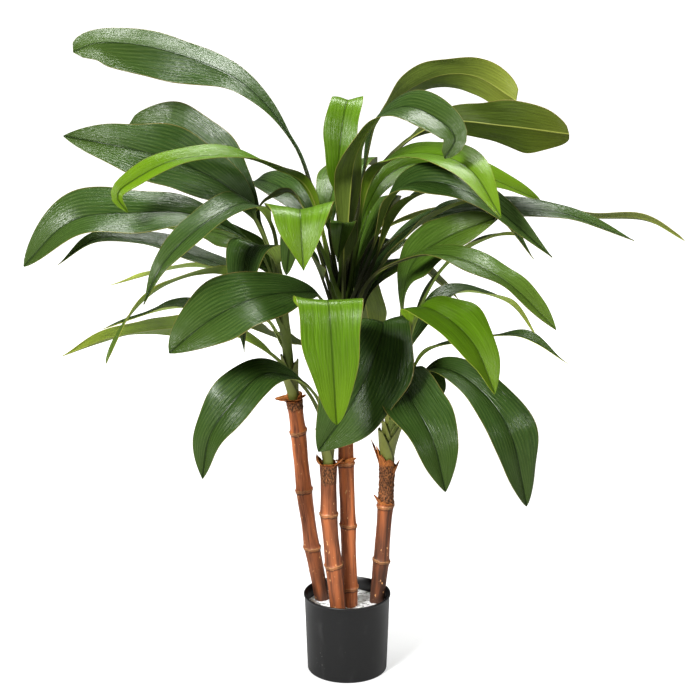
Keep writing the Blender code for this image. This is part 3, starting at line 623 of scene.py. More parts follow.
def draw_fibre(nodes, given):
    """Long streaks and fine fibres that run along a cane, husk or stem."""
    place = nodes.stored("grain", "Vector")
    across, along_it = (nodes.math("DIVIDE", 1.0, given[label]) for label in ("Width", "Length"))
    stretch = nodes.joined(across, across, along_it)
    return {
        "Streak": nodes.step(nodes.noise(place, 0.30, 4.0, stretch), 0.34, 0.66),
        "Fibre": nodes.step(nodes.noise(place, 1.6, 3.0, stretch), 0.30, 0.70)}


def draw_dust(nodes, given):
    """Loose specks and soft scuffs on a hard surface."""
    spot = nodes.spot()
    scale = nodes.math("DIVIDE", 1.0, given["Grain Size"])
    cells = nodes.add("TexVoronoi", {"Vector": spot, "Scale": scale}).outputs["Distance"]
    cloud = nodes.noise(spot, 28, 4.0)
    thin = nodes.math("SUBTRACT", nodes.times(nodes.step(cloud, 0.50, 0.75), 0.22), 0.02)
    specks = nodes.step(nodes.math("SUBTRACT", thin, cells), 0.0, 0.06)
    scuffs = nodes.step(nodes.noise(spot, 60, 5.0, (1, 1, 0.25)), 0.50, 0.80)
    scuffs = nodes.times(scuffs, nodes.step(cloud, 0.45, 0.65))
    return {"Specks": nodes.times(specks, given["Amount"]), "Scuffs": nodes.times(scuffs, given["Amount"])}


def blade_group():
    return shared_group("Blade Side", BLADE_INPUTS, ("Colour", "Roughness", "Height"), draw_blade_side)


def fibre_group():
    return shared_group("Fibre", ("Width", "Length"), ("Streak", "Fibre"), draw_fibre)


def dust_group():
    return shared_group("Dust", ("Grain Size", "Amount"), ("Specks", "Scuffs"), draw_dust)


def start_material(name, specular=0.5):
    """A new material, its nodes and its shader's sockets."""
    material = bpy.data.materials.new(name)
    material.use_nodes = True
    sockets = material.node_tree.nodes["Principled BSDF"].inputs
    sockets["Metallic"].default_value = 0.0
    sockets["Specular IOR Level"].default_value = specular
    return material, Nodes(material.node_tree), sockets


def surface(name, paint, *details, specular=0.5):
    """A material whose colour, roughness and relief in metres come from a paint function."""
    material, nodes, sockets = start_material(name, specular)
    tint, rough, relief = paint(nodes, *details)
    bump = nodes.add("Bump", {"Height": relief, "Distance": 1.0, "Strength": 1.0})
    nodes.feed(sockets, {"Base Color": tint, "Roughness": rough, "Normal": bump.outputs[0]})
    return material


def scaled(rgb, factor):
    return tuple(min(1.0, channel * factor) for channel in rgb)


def blade_paint(nodes, settings, skin, stalk, roughness, upper):
    """One side of a leaf: the upper side has a groove along its rib, painted dark as shade, the underside a
    pale raised rib.
    """
    pale_vein = tuple(blend(channel, pale, 0.17) for channel, pale in zip(skin, PALE_VEIN))
    side = nodes.group(blade_group(), {
        "Skin": skin,
        "Patch": scaled(skin, 1.6),
        "Vein": pale_vein if upper else scaled(skin, 0.50),
        # On the upper side the rib's groove is painted dark as shade
        "Rib": scaled(skin, 0.50) if upper else settings.rib,
        "Edge": DRY_EDGE,
        "Stalk": stalk,
        "Tip": tuple(channel * factor for channel, factor in zip(skin, TIP_FACTORS)),
        "Vein Spacing": settings.vein_spacing,
        "Vein Strength": 0.85 if upper else 0.55,
        "Rib Rise": -1.0 if upper else 1.0,
        "Base Roughness": roughness,
    })
    return side["Colour"], side["Roughness"], side["Height"]


def leaf_skins(settings, pale):
    """The upper and under skins of each tone, with pale stalks, or stalks of their own tone painted dark as
    shade in the centre crown.
    """
    skins = {}
    for tone in ("dark", "mid", "lime"):
        stalk = settings.stalk_pale if pale else getattr(settings, "stalk_" + tone)
        under = scaled(getattr(settings, "under_" + tone), settings.pale_under if pale else 1.0)
        skins[tone] = [
            surface(
                side + tone + ("_pale_stalk" if pale else ""), blade_paint, settings, skin, stalk,
                ROUGHNESS[finish], side == "upper_", specular=LEAF_SPECULAR)
            for side, skin, finish in (("upper_", getattr(settings, tone), tone), ("under_", under, "under"))]
    return skins


def cane_paint(nodes, settings):
    fibre = nodes.group(fibre_group(), {"Width": 0.0030, "Length": 0.040})
    ring, cork, shade = (nodes.stored(label) for label in ("ring", "cork", "shade"))
    spot = nodes.spot()
    tint = nodes.mix(fibre["Streak"], settings.bark, settings.bark_dark)
    tint = nodes.mix(nodes.times(fibre["Fibre"], 0.30), tint, scaled(settings.bark, 1.5))
    # Painted shade below the rings, in the joint creases, near the feet, over the front cane and in the right
    # cane's split; also the right cane's dark old skin
    tint = nodes.mix(shade, tint, settings.aged_and_shaded)
    flecks = nodes.step(nodes.noise(spot, 280, 1.0, (1, 1, 0.5)), 0.71, 0.74)
    tint = nodes.mix(flecks, tint, scaled(settings.ring, 1.2))
    crumbs = nodes.noise(spot, 560, 5.0, (1, 1, 0.45))
    torn = nodes.mix(nodes.step(crumbs, 0.36, 0.74), scaled(settings.cork, 0.30), scaled(settings.cork, 2.4))
    tint = nodes.mix(ring, nodes.mix(cork, tint, torn), settings.ring)
    rough = nodes.plus(ROUGHNESS["cane"], nodes.math("MAXIMUM", cork, fibre["Streak"]), 0.3)
    relief = nodes.times(fibre["Fibre"], RELIEF["cane"])
    return tint, rough, nodes.plus(relief, nodes.times(crumbs, cork), RELIEF["cork"])


def husk_paint(nodes, settings):
    fibre = nodes.group(fibre_group(), {"Width": 0.0016, "Length": 0.020})
    tint = nodes.mix(fibre["Streak"], settings.husk, settings.husk_dark)
    tint = nodes.mix(nodes.times(fibre["Fibre"], 0.5), tint, scaled(settings.husk, 1.4))
    rough = nodes.plus(ROUGHNESS["husk"], fibre["Streak"], 0.25)
    return tint, rough, nodes.times(fibre["Fibre"], RELIEF["husk"])


def crown_paint(nodes, settings):
    spot = nodes.spot()
    lines = nodes.noise(spot, 1.0, 2.0, (900, 900, 25))
    patch = nodes.noise(spot, 40, 3.0)
    tint = nodes.mix(patch, scaled(settings.crown, 0.55), scaled(settings.crown, 1.25))
    tint = nodes.mix(nodes.times(lines, 0.4), tint, scaled(settings.crown, 0.5))
    # Painted shade along the sheaths' edges
    tint = nodes.mix(nodes.stored("margin"), tint, scaled(settings.crown, 0.12))
    return tint, nodes.plus(ROUGHNESS["crown"], patch, 0.2), nodes.times(lines, RELIEF["crown"])


def pot_paint(nodes, settings):
    dust = nodes.group(dust_group(), {"Grain Size": 0.0060, "Amount": 0.8})
    tint = nodes.mix(nodes.times(dust["Scuffs"], 0.10), settings.plastic, settings.dust)
    tint = nodes.mix(nodes.times(dust["Specks"], 0.6), tint, settings.dust)
    rough = nodes.plus(ROUGHNESS["pot"], dust["Scuffs"], 0.25)
    return tint, rough, nodes.times(nodes.noise(nodes.spot(), 900), RELIEF["pot"])


def grit_paint(nodes, settings):
    spot = nodes.spot()
    grains = nodes.noise(spot, 900, 5.0)
    clods = nodes.noise(spot, 130, 4.0)
    # The grit's low pits are painted dark as shade
    tint = nodes.mix(nodes.step(clods, 0.34, 0.52), settings.grit_pit_shade, settings.grit)
    tint = nodes.mix(nodes.step(grains, 0.46, 0.72), tint, scaled(settings.grit, 1.4))
    relief = nodes.plus(nodes.times(grains, RELIEF["grain"]), clods, RELIEF["clod"])
    return tint, nodes.plus(ROUGHNESS["grit"], grains, 0.15), relief


def add_piece(name, points, faces, materials, slot, stands_for, sides=None, smooth_angle=45):
    """A new piece that rides on the frame in place of one of its nodes."""
    mesh = bpy.data.meshes.new(name)
    mesh.from_pydata(points, [], faces)
    for material in materials:
        mesh.materials.append(material)
    if sides:
        mesh.polygons.foreach_set("material_index", sides)
    mesh.shade_smooth()
    mesh.set_sharp_from_angle(angle=math.radians(smooth_angle))
    piece = bpy.data.objects.new(name, mesh)
    bpy.context.scene.collection.objects.link(piece)
    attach(piece, "root")
    if stands_for:
        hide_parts(stands_for)
    return piece


def store(piece, name, values):
    """Keeps a value or a vector for each point of a piece."""
    kind, field = "FLOAT", "value"
    if isinstance(values[0], tuple):
        kind, field = "FLOAT_VECTOR", "vector"
        values = [part for vector in values for part in vector]
    piece.data.attributes.new(name, kind, "POINT").data.foreach_set(field, values)


def blend(first, last, share):
    return first + (last - first) * share


def clamp(value, high=1.0):
    return max(0.0, min(high, value))


def swell(distance, width):
    """1 at no distance, falling smoothly to nothing a few widths away."""
    return math.exp(-(distance / width) ** 2)


def rumple(x, y, z):
    """Smooth seeded roughness between -1 and 1."""
    return noise.noise(Vector((x, y, z)))


def rumple_round(turn, fineness, level):
    """Roughness round a cane, for a direction from its middle and a level along it."""
    return rumple(turn[0] * fineness, turn[1] * fineness, level)


def lengths(line):
    """The distance from each point of a line to the next."""
    return [(high - low).length for low, high in zip(line, line[1:])]


def skin_rings(rings):
    """Faces over rings of points, low to high; a ring of one point closes an end."""
    points = [point for ring in rings for point in ring]
    faces, a = [], 0
    for low, high in zip(rings, rings[1:]):
        b = a + len(low)
        size = max(len(low), len(high))
        for side in range(size):
            turn = (side + 1) % size
            if len(low) == 1:
                faces.append((a, b + turn, b + side))
            elif len(high) == 1:
                faces.append((a + side, a + turn, b))
            else:
                faces.append((a + side, a + turn, b + turn, b + side))
        a = b
    return points, faces


def level_frame(axis):
    """Two directions square to an axis, the first of them close to +X."""
    across = (Vector((1, 0, 0)) - axis * axis.x).normalized()
    return across, axis.cross(across)


def ring_about(centre, axis, radius, sides):
    """A ring of points round an axis."""
    across, side = level_frame(axis)
    turns = [math.tau * step / sides for step in range(sides)]
    return [centre + (across * math.cos(turn) + side * math.sin(turn)) * radius for turn in turns]


def cane_spots(stem):
    """The middle of a cane at its foot and at each joint up to its top."""
    return [Vector(spot) * CM for spot in (stem.foot, *stem.joints)]


def cane_top(stem):
    """The middle of the cane's top and the direction in which the cane ends."""
    below, top = cane_spots(stem)[-2:]
    return top, (top - below).normalized()


def crown_line(stem):
    """Points and radii along the crown stem, from its foot in the socket to its top."""
    top, axis = cane_top(stem)
    husk_top = top + axis * stem.husk_height * CM
    spots = [top - axis * (SOCKET_DEPTH - GAP), husk_top] + [Vector(bend) * CM for bend in stem.crown]
    low, high = stem.crown_radii
    rise = spots[-1].z - husk_top.z
    radii = [low * CM] + [blend(low, high, (spot.z - husk_top.z) / rise) * CM for spot in spots[1:]]
    return spots, radii


def crown_at(stem, height):
    """The crown stem's middle and radius at a height."""
    spots, radii = crown_line(stem)
    for low, high, thick, thin in zip(spots, spots[1:], radii, radii[1:]):
        if height <= high.z:
            share = (height - low.z) / (high.z - low.z)
            return low.lerp(high, share), blend(thick, thin, share)
    raise ValueError("a leaf's root is above its crown stem")


def pot_wall(settings, height):
    """The pot's outer radius at a height, without its lip."""
    return blend(settings.base_radius, settings.rim_radius - LIP_PROUD, height / settings.height)


def pot_profile(settings):
    """Radius and height along the pot's section, from the middle of its base and back inside."""
    low, rim, top = settings.base_radius - POT_BEND, settings.rim_radius, settings.height
    brow = top - LIP_HEIGHT
    outline = [(0, 0)]
    for step in range(POT_BEND_STEPS + 1):
        turn = math.pi / 2 * step / POT_BEND_STEPS
        outline.append((low + POT_BEND * math.sin(turn), POT_BEND - POT_BEND * math.cos(turn)))
    outline += [(pot_wall(settings, share * brow), share * brow) for share in (0.2, 0.4, 0.6, 0.8, 0.985)]
    outline += [(pot_wall(settings, brow) + LIP_PROUD / 2, brow), (rim, brow + LIP_ROUNDING)]
    outline += [(rim - inset, top - drop) for inset, drop in LIP_CORNER]
    inner = rim - LIP_PROUD - settings.wall
    outline += [(inner + INNER_ROUNDING, top), (inner, top - INNER_ROUNDING)]
    for height in (0.9 * top, 0.7 * top, 0.4 * top, POT_FLOOR):
        outline.append((pot_wall(settings, height) - settings.wall, height))
    return outline + [(0, POT_FLOOR)]


def build_pot(settings):
    rings = []
    for radius, height in pot_profile(settings):
        centre = Vector((0, 0, height))
        rings.append(ring_about(centre, UP, radius, POT_SIDES) if radius else [centre])
    material = surface("pot_satin", pot_paint, settings, specular=POT_SPECULAR)
    return add_piece("pot_shell", *skin_rings(rings), [material], "pot_plastic", "pot")


def grit_height(settings, x, y):
    """The clodded top of the fill, which rises a little at the front right."""
    away = (x - RIDGE_SPOT[0]) ** 2 + (y - RIDGE_SPOT[1]) ** 2
    clods = sum(rise * rumple(x * scale, y * scale, seed) for rise, scale, seed in GRIT_CLODS)
    return settings.fill_level + RIDGE_RISE * math.exp(-away / RIDGE_SPREAD) + clods


def build_fill(settings):
    low, inset = POT_FLOOR + GAP, settings.wall + GAP
    foot, edge = (pot_wall(settings, height) - inset for height in (low, settings.fill_level))
    rings = [[Vector((0, 0, low))], ring_about(Vector((0, 0, low)), UP, foot, FILL_SIDES)]
    for step in range(FILL_RINGS, 0, -1):
        ring = ring_about(Vector((0, 0, 0)), UP, edge * step / FILL_RINGS, FILL_SIDES)
        rings.append([Vector((p.x, p.y, grit_height(settings, p.x, p.y))) for p in ring])
    rings.append([Vector((0, 0, grit_height(settings, 0, 0)))])
    material = surface("set_grit", grit_paint, settings)
    return add_piece("fill_grit", *skin_rings(rings), [material], "fill_grit", "fill", smooth_angle=80)


def cane_sections(spots):
    """Sections up a cane: middle, axis, distance up the cane and share of the way between joints."""
    axes = [(high - low).normalized() for low, high in zip(spots, spots[1:])]
    sections, reached = [], 0.0
    for index, run in enumerate(lengths(spots)):
        last = index == len(axes) - 1
        axis, low, high = axes[index], spots[index], spots[index + 1]
        before, after = axes[max(0, index - 1)], axis if last else axes[index + 1]
        count = max(8, round(run / CANE_STEP))
        for step in range(count + last):
            share = step / count
            lean = axis
            if share < JOINT_BLEND:
                lean = axis.lerp((before + axis).normalized(), 1 - share / JOINT_BLEND).normalized()
            elif share > 1 - JOINT_BLEND:
                turned = (share - 1 + JOINT_BLEND) / JOINT_BLEND
                lean = axis.lerp((after + axis).normalized(), turned).normalized()
            sections.append((low.lerp(high, share), lean, reached + run * share, share))
        reached += run
    return sections


def build_cane(name, stem, seed, material):
    """A jointed cane: waisted between its joints, with a slanting raised ring at each of them."""
    spots = cane_spots(stem)
    joints = list(accumulate(lengths(spots)))[:-1]
    radius = stem.cane_radius * CM
    rings, grain, marks = [], [], {"ring": [], "cork": [], "shade": []}
    for middle, axis, height, share in cane_sections(spots):
        across, side = level_frame(axis)
        nearest = min(joints, key=lambda joint: abs(joint - height))
        waist = radius * (CANE_GIRTH[name] - CANE_WAIST * math.sin(math.pi * share) ** 0.8)
        ring = []
        for step in range(CANE_SIDES):
            angle = math.tau * step / CANE_SIDES
            turn = (math.cos(angle), math.sin(angle))
            slant = RING_SLANT * math.cos(angle + seed * 2.1 + nearest * 40)
            slant += RING_WAVE * rumple_round(turn, 2.8, nearest * 90 + seed)
            above = height - nearest - slant
            thin = UPPER_LIP_THICKNESS * (1 + 0.5 * rumple_round(turn, 3, nearest * 70 + seed))
            lip = swell(above - UPPER_LIP, thin) + 0.6 * swell(above - LOWER_LIP, LOWER_LIP_THICKNESS)
            proud = NODE_PROUD * (0.50 * swell(above, NODE_FLARE) + 0.60 * lip)
            bumps = sum(
                rise * rumple_round(turn, fineness, height * scale + seed * shift)
                for rise, fineness, scale, shift in SKIN_BUMPS)
            cork = cork_at(name, middle.z, turn, seed)
            rugged = cork * (CORK_PROUD + CORK_ROUGH * rumple_round(turn, 4, height * 210 + seed))
            ring.append(middle + (across * turn[0] + side * turn[1]) * (waist + proud + bumps + rugged))
            grain.append((turn[0] * radius, turn[1] * radius, height + seed))
            ragged = 0.75 + 0.5 * rumple_round(turn, 5, nearest * 50)
            # Painted shadow below each ring's lower lip and painted shade in the crease at the joint
            shadow = 0.9 * swell(above - RING_SHADOW, SHADOW_WIDTH) + 0.8 * swell(above, CREASE_WIDTH)
            marks["ring"].append(min(1.0, lip * ragged))
            marks["cork"].append(cork)
            marks["shade"].append(min(1.0, max(shadow, shade_and_age(name, middle.z, turn))))
        rings.append(ring)
    top, axis = cane_top(stem)
    bottom = top - axis * SOCKET_DEPTH
    socket = stem.crown_radii[0] * CM + SOCKET_CLEARANCE
    closing = [ring_about(end, axis, socket, CANE_SIDES) for end in (top, bottom)]
    points, faces = skin_rings([[spots[0]], *rings, *closing, [bottom]])
    piece = add_piece(
        "cane_skin_" + name, points, faces, [material], "cane_bark", "cane_" + name, smooth_angle=60)
    tail = CANE_SIDES * 2 + 1
    store(piece, "grain", [(0, 0, seed)] + grain + [(0, 0, seed)] * tail)
    for label, values in marks.items():
        store(piece, label, [0.0] + values + [0.0] * tail)
    return piece


def cork_at(name, height, turn, seed):
    """How torn the cane's skin is at a height and a direction."""
    low, high, reach = CORK[name]
    off_front = math.degrees(math.acos(max(-1.0, min(1.0, -turn[1]))))
    ragged = 0.4 * rumple_round(turn, 3, height * 90 + seed)
    inside = min(height / CM - low, high - height / CM) + ragged
    round_it = 1.0 if reach >= 180 else clamp((reach - off_front) / CORK_EDGE_TURN + ragged)
    return clamp(inside / CORK_EDGE) * round_it


def shade_and_age(name, height, turn):
    """How dark the cane is painted: painted shade all over and towards its foot; the right one also has dark
    old skin below its cork and a split at its front painted as a line of shade.
    """
    shade_all_over, shade_low_down = PAINTED_CANE_SHADE[name]
    patch = rumple_round(turn, 2, height * 25)
    low_down = max(0.0, 1 - height / CM / LOW_SHADE_HEIGHT)
    dark = shade_all_over * (1 + 0.6 * patch) + shade_low_down * low_down * (0.75 + 0.4 * patch)
    if name != "right":
        return clamp(dark, DARKEST)
    aged_and_shaded = 0.45 + 0.5 * rumple_round(turn, 2, height * 16)
    # Painted shade in the split at the right cane's front
    split = max(0.0, 1 - abs(turn[0] - SPLIT_ASIDE) / SPLIT_WIDTH) if turn[1] < 0 else 0.0
    return clamp(max(dark, aged_and_shaded if height < AGED_TOP else 0.0, split), DARKEST_AGED)


def flap_rows(stem, height, facing, width, reach, lean, curl, seed):
    """A torn sheet that starts on a cane's skin, leans away from it and curls over."""
    spots = cane_spots(stem)
    pairs = list(zip(spots, spots[1:]))
    low, high = next((pair for pair in pairs if height * CM <= pair[1].z), pairs[-1])
    axis = (high - low).normalized()
    foot = blend(low, high, (height * CM - low.z) / (high.z - low.z))
    across, side = level_frame(axis)
    radius = stem.cane_radius * CM - FLAP_SUNK
    rows, rise, out = [], 0.0, 0.0
    for step in range(FLAP_ROWS + 1):
        share = step / FLAP_ROWS
        narrowed = (1 - share ** 2.2) ** 0.6 + 0.04
        inner, outer = [], []
        for column in ACROSS:
            torn = 1 + WIDE_TEARS[0] * rumple(column * WIDE_TEARS[1], seed * 3.7, 0.5)
            torn += FINE_TEARS[0] * rumple(column * FINE_TEARS[1], seed, 4.5)
            turn = math.radians(facing + column * width / 2 * narrowed)
            outward = across * math.cos(turn) + side * math.sin(turn)
            crinkle = FLAP_CRINKLE * share * rumple(column * 8, share * 4, seed * 1.9)
            point = foot + outward * (radius + out * torn + crinkle) + axis * rise * torn
            inner.append(point - outward * HUSK_THICKNESS + axis * HUSK_THICKNESS * 0.4)
            outer.append(point)
        rows.append((inner, outer))
        slope = math.radians(lean + curl * share)
        rise += math.cos(slope) * reach * CM / FLAP_ROWS
        out += math.sin(slope) * reach * CM / FLAP_ROWS
    return rows


def join_sheets(sheets, inside_out=False):
    """Points and faces of several sheets, each of them rows of points on its two sides."""
    points, faces = [], []
    for rows in sheets:
        first = len(points)
        points += [point for row in rows for side in row for point in side]
        for face in blade_faces(len(rows), len(ACROSS))[0]:
            corners = [first + corner for corner in face]
            faces.append(corners[::-1] if inside_out else corners)
    return points, faces


def build_husk(name, stem, seed, material):
    """Torn sheets of fibre that lap round the cane's top and hang on its joints."""
    sheets, grain = [], []
    for index, flap in enumerate(HUSKS[name]):
        sheets.append(flap_rows(stem, *flap, seed + index * 1.7))
        for step in range(FLAP_ROWS + 1):
            grain += [(column * 0.010, index * 0.031, step * 0.0012 + seed) for column in ACROSS] * 2
    points, faces = join_sheets(sheets)
    piece = add_piece(
        "husk_torn_" + name, points, faces, [material], "husk_fibre", "husk_" + name, smooth_angle=70)
    store(piece, "grain", grain)
    return piece


def smooth_line(spots, steps=24):
    """Points along a curve that passes through every spot."""
    ends = [spots[0] * 2 - spots[1]] + list(spots) + [spots[-1] * 2 - spots[-2]]
    line = []
    for a, b, c, d in zip(ends, ends[1:], ends[2:], ends[3:]):
        for step in range(steps):
            t = step / steps
            line.append(0.5 * (2 * b + (c - a) * t + (2 * a - 5 * b + 4 * c - d) * t ** 2
                               + (3 * b - 3 * c + d - a) * t ** 3))
    line.append(spots[-1].copy())
    return line


def along(line, stations):
    """The points at the given distances along a line."""
    reached, spots, index = 0.0, [], 0
    for low, high, step in zip(line, line[1:], lengths(line)):
        while index < len(stations) and stations[index] <= reached + step + END_MARGIN:
            spots.append(low.lerp(high, (stations[index] - reached) / step))
            index += 1
        reached += step
    return spots


def carried_normals(tangents, crest):
    """Upper-side normals: level across the leaf at its crest, carried along from there."""
    level = tangents[crest].cross(UP).normalized()
    normals = [None] * len(tangents)
    normals[crest] = level.cross(tangents[crest]).normalized()
    for order in (range(crest + 1, len(tangents)), range(crest - 1, -1, -1)):
        last = crest
        for index in order:
            turn = tangents[last].rotation_difference(tangents[index])
            carried = turn @ normals[last]
            normals[index] = (carried - tangents[index] * carried.dot(tangents[index])).normalized()
            last = index
    return normals


def blade_outline(shape, share):
    """Half-width of a blade as a share of its widest, from its base (0) to its tip (1)."""
    widest, widening, narrowing = SHAPES[shape]
    if share < widest:
        return math.sin(math.pi / 2 * share / widest) ** widening
    return max(0.0, math.cos(math.pi / 2 * (share - widest) / (1 - widest))) ** narrowing


def signed_angle(axis, before, after):
    """How far a direction turns about an axis, in radians."""
    return math.atan2(axis.dot(before.cross(after)), before.dot(after))


def clasp_thickness(across):
    """Thickness of a leaf where it clasps the stem, less towards its edges."""
    return CLASP_THICKNESS * (1 - 0.5 * abs(across))


def clasp_rows(stem, root_height, heading):
    """The part of a leaf that clasps the crown stem below its root."""
    spots, _ = crown_line(stem)
    lowest = max(root_height - CLASP_DROP, spots[1].z - CLASP_LOWEST)
    side = UP.cross(heading).normalized()
    rows = []
    for step in range(CLASP_ROWS):
        share = step / CLASP_ROWS
        middle, radius = crown_at(stem, blend(lowest, root_height, share))
        radius += GAP + ROOT_STANDOFF * share
        wrap = blend(FULL_WRAP, ROOT_WRAP, share)
        upper, under, place = [], [], []
        for across in ACROSS:
            out = heading * math.cos(across * wrap) - side * math.sin(across * wrap)
            upper.append(middle + out * radius)
            under.append(middle + out * (radius + clasp_thickness(across) * (0.3 + 0.7 * share)))
            place.append((CLASP_PLACE + 0.05 * share, across, across * 0.01))
        rows.append((upper, under, place, place))
    return rows


def leaf_rows(stem, leaf, phase, settings):
    """Rows of points across the leaf from its sheath to its tip: upper side, underside, place."""
    middle, radius = crown_at(stem, leaf.root * CM)
    first = Vector(leaf.path[0]) * CM
    heading = Vector((first.x - middle.x, first.y - middle.y, 0)).normalized()
    root = middle + heading * (radius + GAP + ROOT_STANDOFF)
    line = smooth_line([root] + [Vector(spot) * CM for spot in leaf.path])
    total, stalk = sum(lengths(line)), leaf.stalk * CM
    stations = [stalk * step / STALK_ROWS for step in range(STALK_ROWS)]
    shares = [(step / settings.rows) ** TIP_CROWDING for step in range(settings.rows + 1)]
    stations += [blend(stalk, total, share) for share in shares]
    stations[-1] = total - END_MARGIN
    spots = along(line, stations)
    befores, afters = [spots[0]] + spots, spots[1:] + [spots[-1]]
    tangents = [(after - before).normalized() for before, after in zip(befores, afters)]
    crest = max(range(len(spots)), key=lambda spot: spots[spot].z)
    normals = carried_normals(tangents, crest)
    to_stem = (-heading - tangents[0] * -heading.dot(tangents[0])).normalized()
    root_turn = signed_angle(tangents[0], normals[0], to_stem)
    rows = clasp_rows(stem, leaf.root * CM, heading)
    for spot, tangent, normal, station in zip(spots, tangents, normals, stations):
        distance = station - stalk
        grown, risen = max(0.0, distance / (total - stalk)), min(1.0, station / stalk)
        roll = math.radians(leaf.roll * risen + leaf.twist * grown) + root_turn * (1 - risen)
        up = Quaternion(tangent, roll) @ normal
        side = tangent.cross(up)
        rows.append(leaf_row(leaf, phase, spot, side, up, risen, grown, radius, distance, settings))
    return rows


def leaf_row(leaf, phase, spot, side, up, risen, grown, stem_radius, distance, settings):
    """One row across a leaf: folded up from its rib, waved at its edges and clasped at its root."""
    widest = leaf.width * CM / 2
    half = max(blend(STALK_HALF_WIDTH, TIP_HALF_WIDTH, grown), widest * blade_outline(leaf.shape, grown))
    clasp = max(0.0, 1 - risen / SHEATH_SHARE) ** 1.5
    sheath = stem_radius + GAP + ROOT_STANDOFF
    rib = blend(STALK_RIB_THICKNESS, BLADE_RIB_THICKNESS, min(1.0, grown / RIB_SHARE))
    rib += (BLADE_EDGE_THICKNESS - BLADE_RIB_THICKNESS) * grown ** 2
    full = min(1.0, half / widest)
    fold = math.tan(math.radians(blend(STALK_FOLD, leaf.fold, full)))
    upper, under, place, vein = [], [], [], []
    for share in ACROSS:
        off = abs(share)
        lag = EDGE_LAG if share > 0 else 0
        wave = math.sin(math.tau * WAVES_PER_BLADE * grown + phase + lag)
        wobble = math.sin(math.tau * WOBBLES_PER_BLADE * grown + phase * 2 + lag)
        rise = half * fold * off * (CHANNEL_STEEPNESS - (CHANNEL_STEEPNESS - 1) * off)
        rise += WAVE_HEIGHT * wave * share ** 2 * full
        ripple = rumple(grown * RIPPLES[0] + phase * 3, share * RIPPLES[1], phase * 7)
        rise += settings.ripple * ripple * off ** RIPPLES[2] * full
        buckle = rumple(grown * BUCKLES[0] + phase * 5, share * BUCKLES[1] + phase, phase * 3)
        rise += settings.buckle * buckle * off ** BUCKLES[2] * full
        across = share * half * (1 + EDGE_WOBBLE * wobble * full * off)
        angle = share * ROOT_WRAP
        across = blend(across, sheath * math.sin(angle), clasp)
        rise = blend(rise, sheath * (1 - math.cos(angle)), clasp)
        thick = blend(BLADE_EDGE_THICKNESS, rib, (1 - off) ** 2)
        thick = blend(thick, clasp_thickness(share), clasp)
        upper.append(spot + side * across + up * rise)
        under.append(spot + side * across + up * (rise - thick))
        place.append((distance, share, share * half))
        vein.append((off * widest - VEIN_SWEEP * distance, grown, share))
    return upper, under, place, vein


def blade_faces(count, width):
    """Faces over rows of upper and under points, and the side of the blade each one is on."""
    faces, sides = [], []
    for row in range(count - 1):
        here, there = row * 2 * width, (row + 1) * 2 * width
        for column in range(width - 1):
            a, b, c, d = here + column, here + column + 1, there + column + 1, there + column
            faces += [(a, b, c, d), (a + width, d + width, c + width, b + width)]
            sides += [0, 1]
        a, b = here + width - 1, there + width - 1
        faces += [(here, there, there + width, here + width), (a, a + width, b + width, b)]
        sides += [1, 1]
    last = (count - 1) * 2 * width
    for column in range(width - 1):
        faces.append((column + 1, column, column + width, column + width + 1))
        faces.append((last + column, last + column + 1, last + column + width + 1, last + column + width))
        sides += [1, 1]
    return faces, sides


def build_leaf(name, crown, index, leaf, skins, node, settings):
    """A leaf in place of a node, or with no node one that stands for itself."""
    rows = leaf_rows(STEMS[crown], leaf, index * GOLDEN_ANGLE, settings)
    points = [point for row in rows for point in row[0] + row[1]]
    faces, sides = blade_faces(len(rows), len(ACROSS))
    materials = skins[crown in PALE_CROWNS][leaf.tone]
    piece = add_piece(name, points, faces, materials, "leaf_" + leaf.tone, node, sides, smooth_angle=50)
    store(piece, "place", [place for row in rows for place in row[2] * 2])
    store(piece, "vein", [vein for row in rows for vein in row[3] * 2])
    return piece


def build_sheaths(name, stem, material):
    """Leaf bases that clasp the crown stem from its left and right in turn, in a V."""
    count, spread, sunk = SHEATHS[name]
    start = crown_line(stem)[0][1].z - sunk * CM
    sheets = []
    for index in range(count):
        facing = Vector((1 if index % 2 else -1, SHEATH_FACING, 0)).normalized()
        side = UP.cross(facing)
        rows = []
        for step in range(SHEATH_STEPS + 1):
            share = step / SHEATH_STEPS
            middle, radius = crown_at(stem, start + index * SHEATH_PITCH + SHEATH_LENGTH * share)
            opened = spread * (1 - SHEATH_CLOSING * index / count) * share ** 1.3
            radius += SHEATH_GAP * (count - index) + opened * CM
            turns = [across * blend(FULL_WRAP, SHEATH_END_WRAP, share ** 0.8) for across in ACROSS]
            outs = [facing * math.cos(turn) + side * math.sin(turn) for turn in turns]
            rows.append([
                [middle + out * (radius - depth) for out in outs] for depth in (0.0, SHEATH_THICKNESS)])
        sheets.append(rows)
    points, faces = join_sheets(sheets, inside_out=True)
    piece = add_piece("sheaths_" + name, points, faces, [material], "crown_stem", None, smooth_angle=50)
    # How strongly the painted shade along each sheath's edges falls on each point
    margin = [max(0.0, 1 - (1 - abs(across)) / SHEATH_MARGIN) for across in ACROSS]
    store(piece, "margin", margin * 2 * (SHEATH_STEPS + 1) * count)
    return piece


def add_stage_piece(name, points, faces, material):
    mesh = bpy.data.meshes.new(name)
    mesh.from_pydata(points, [], faces)
    mesh.materials.append(material)
    piece = bpy.data.objects.new(name, mesh)
    bpy.context.scene.collection.objects.link(piece)
    return piece


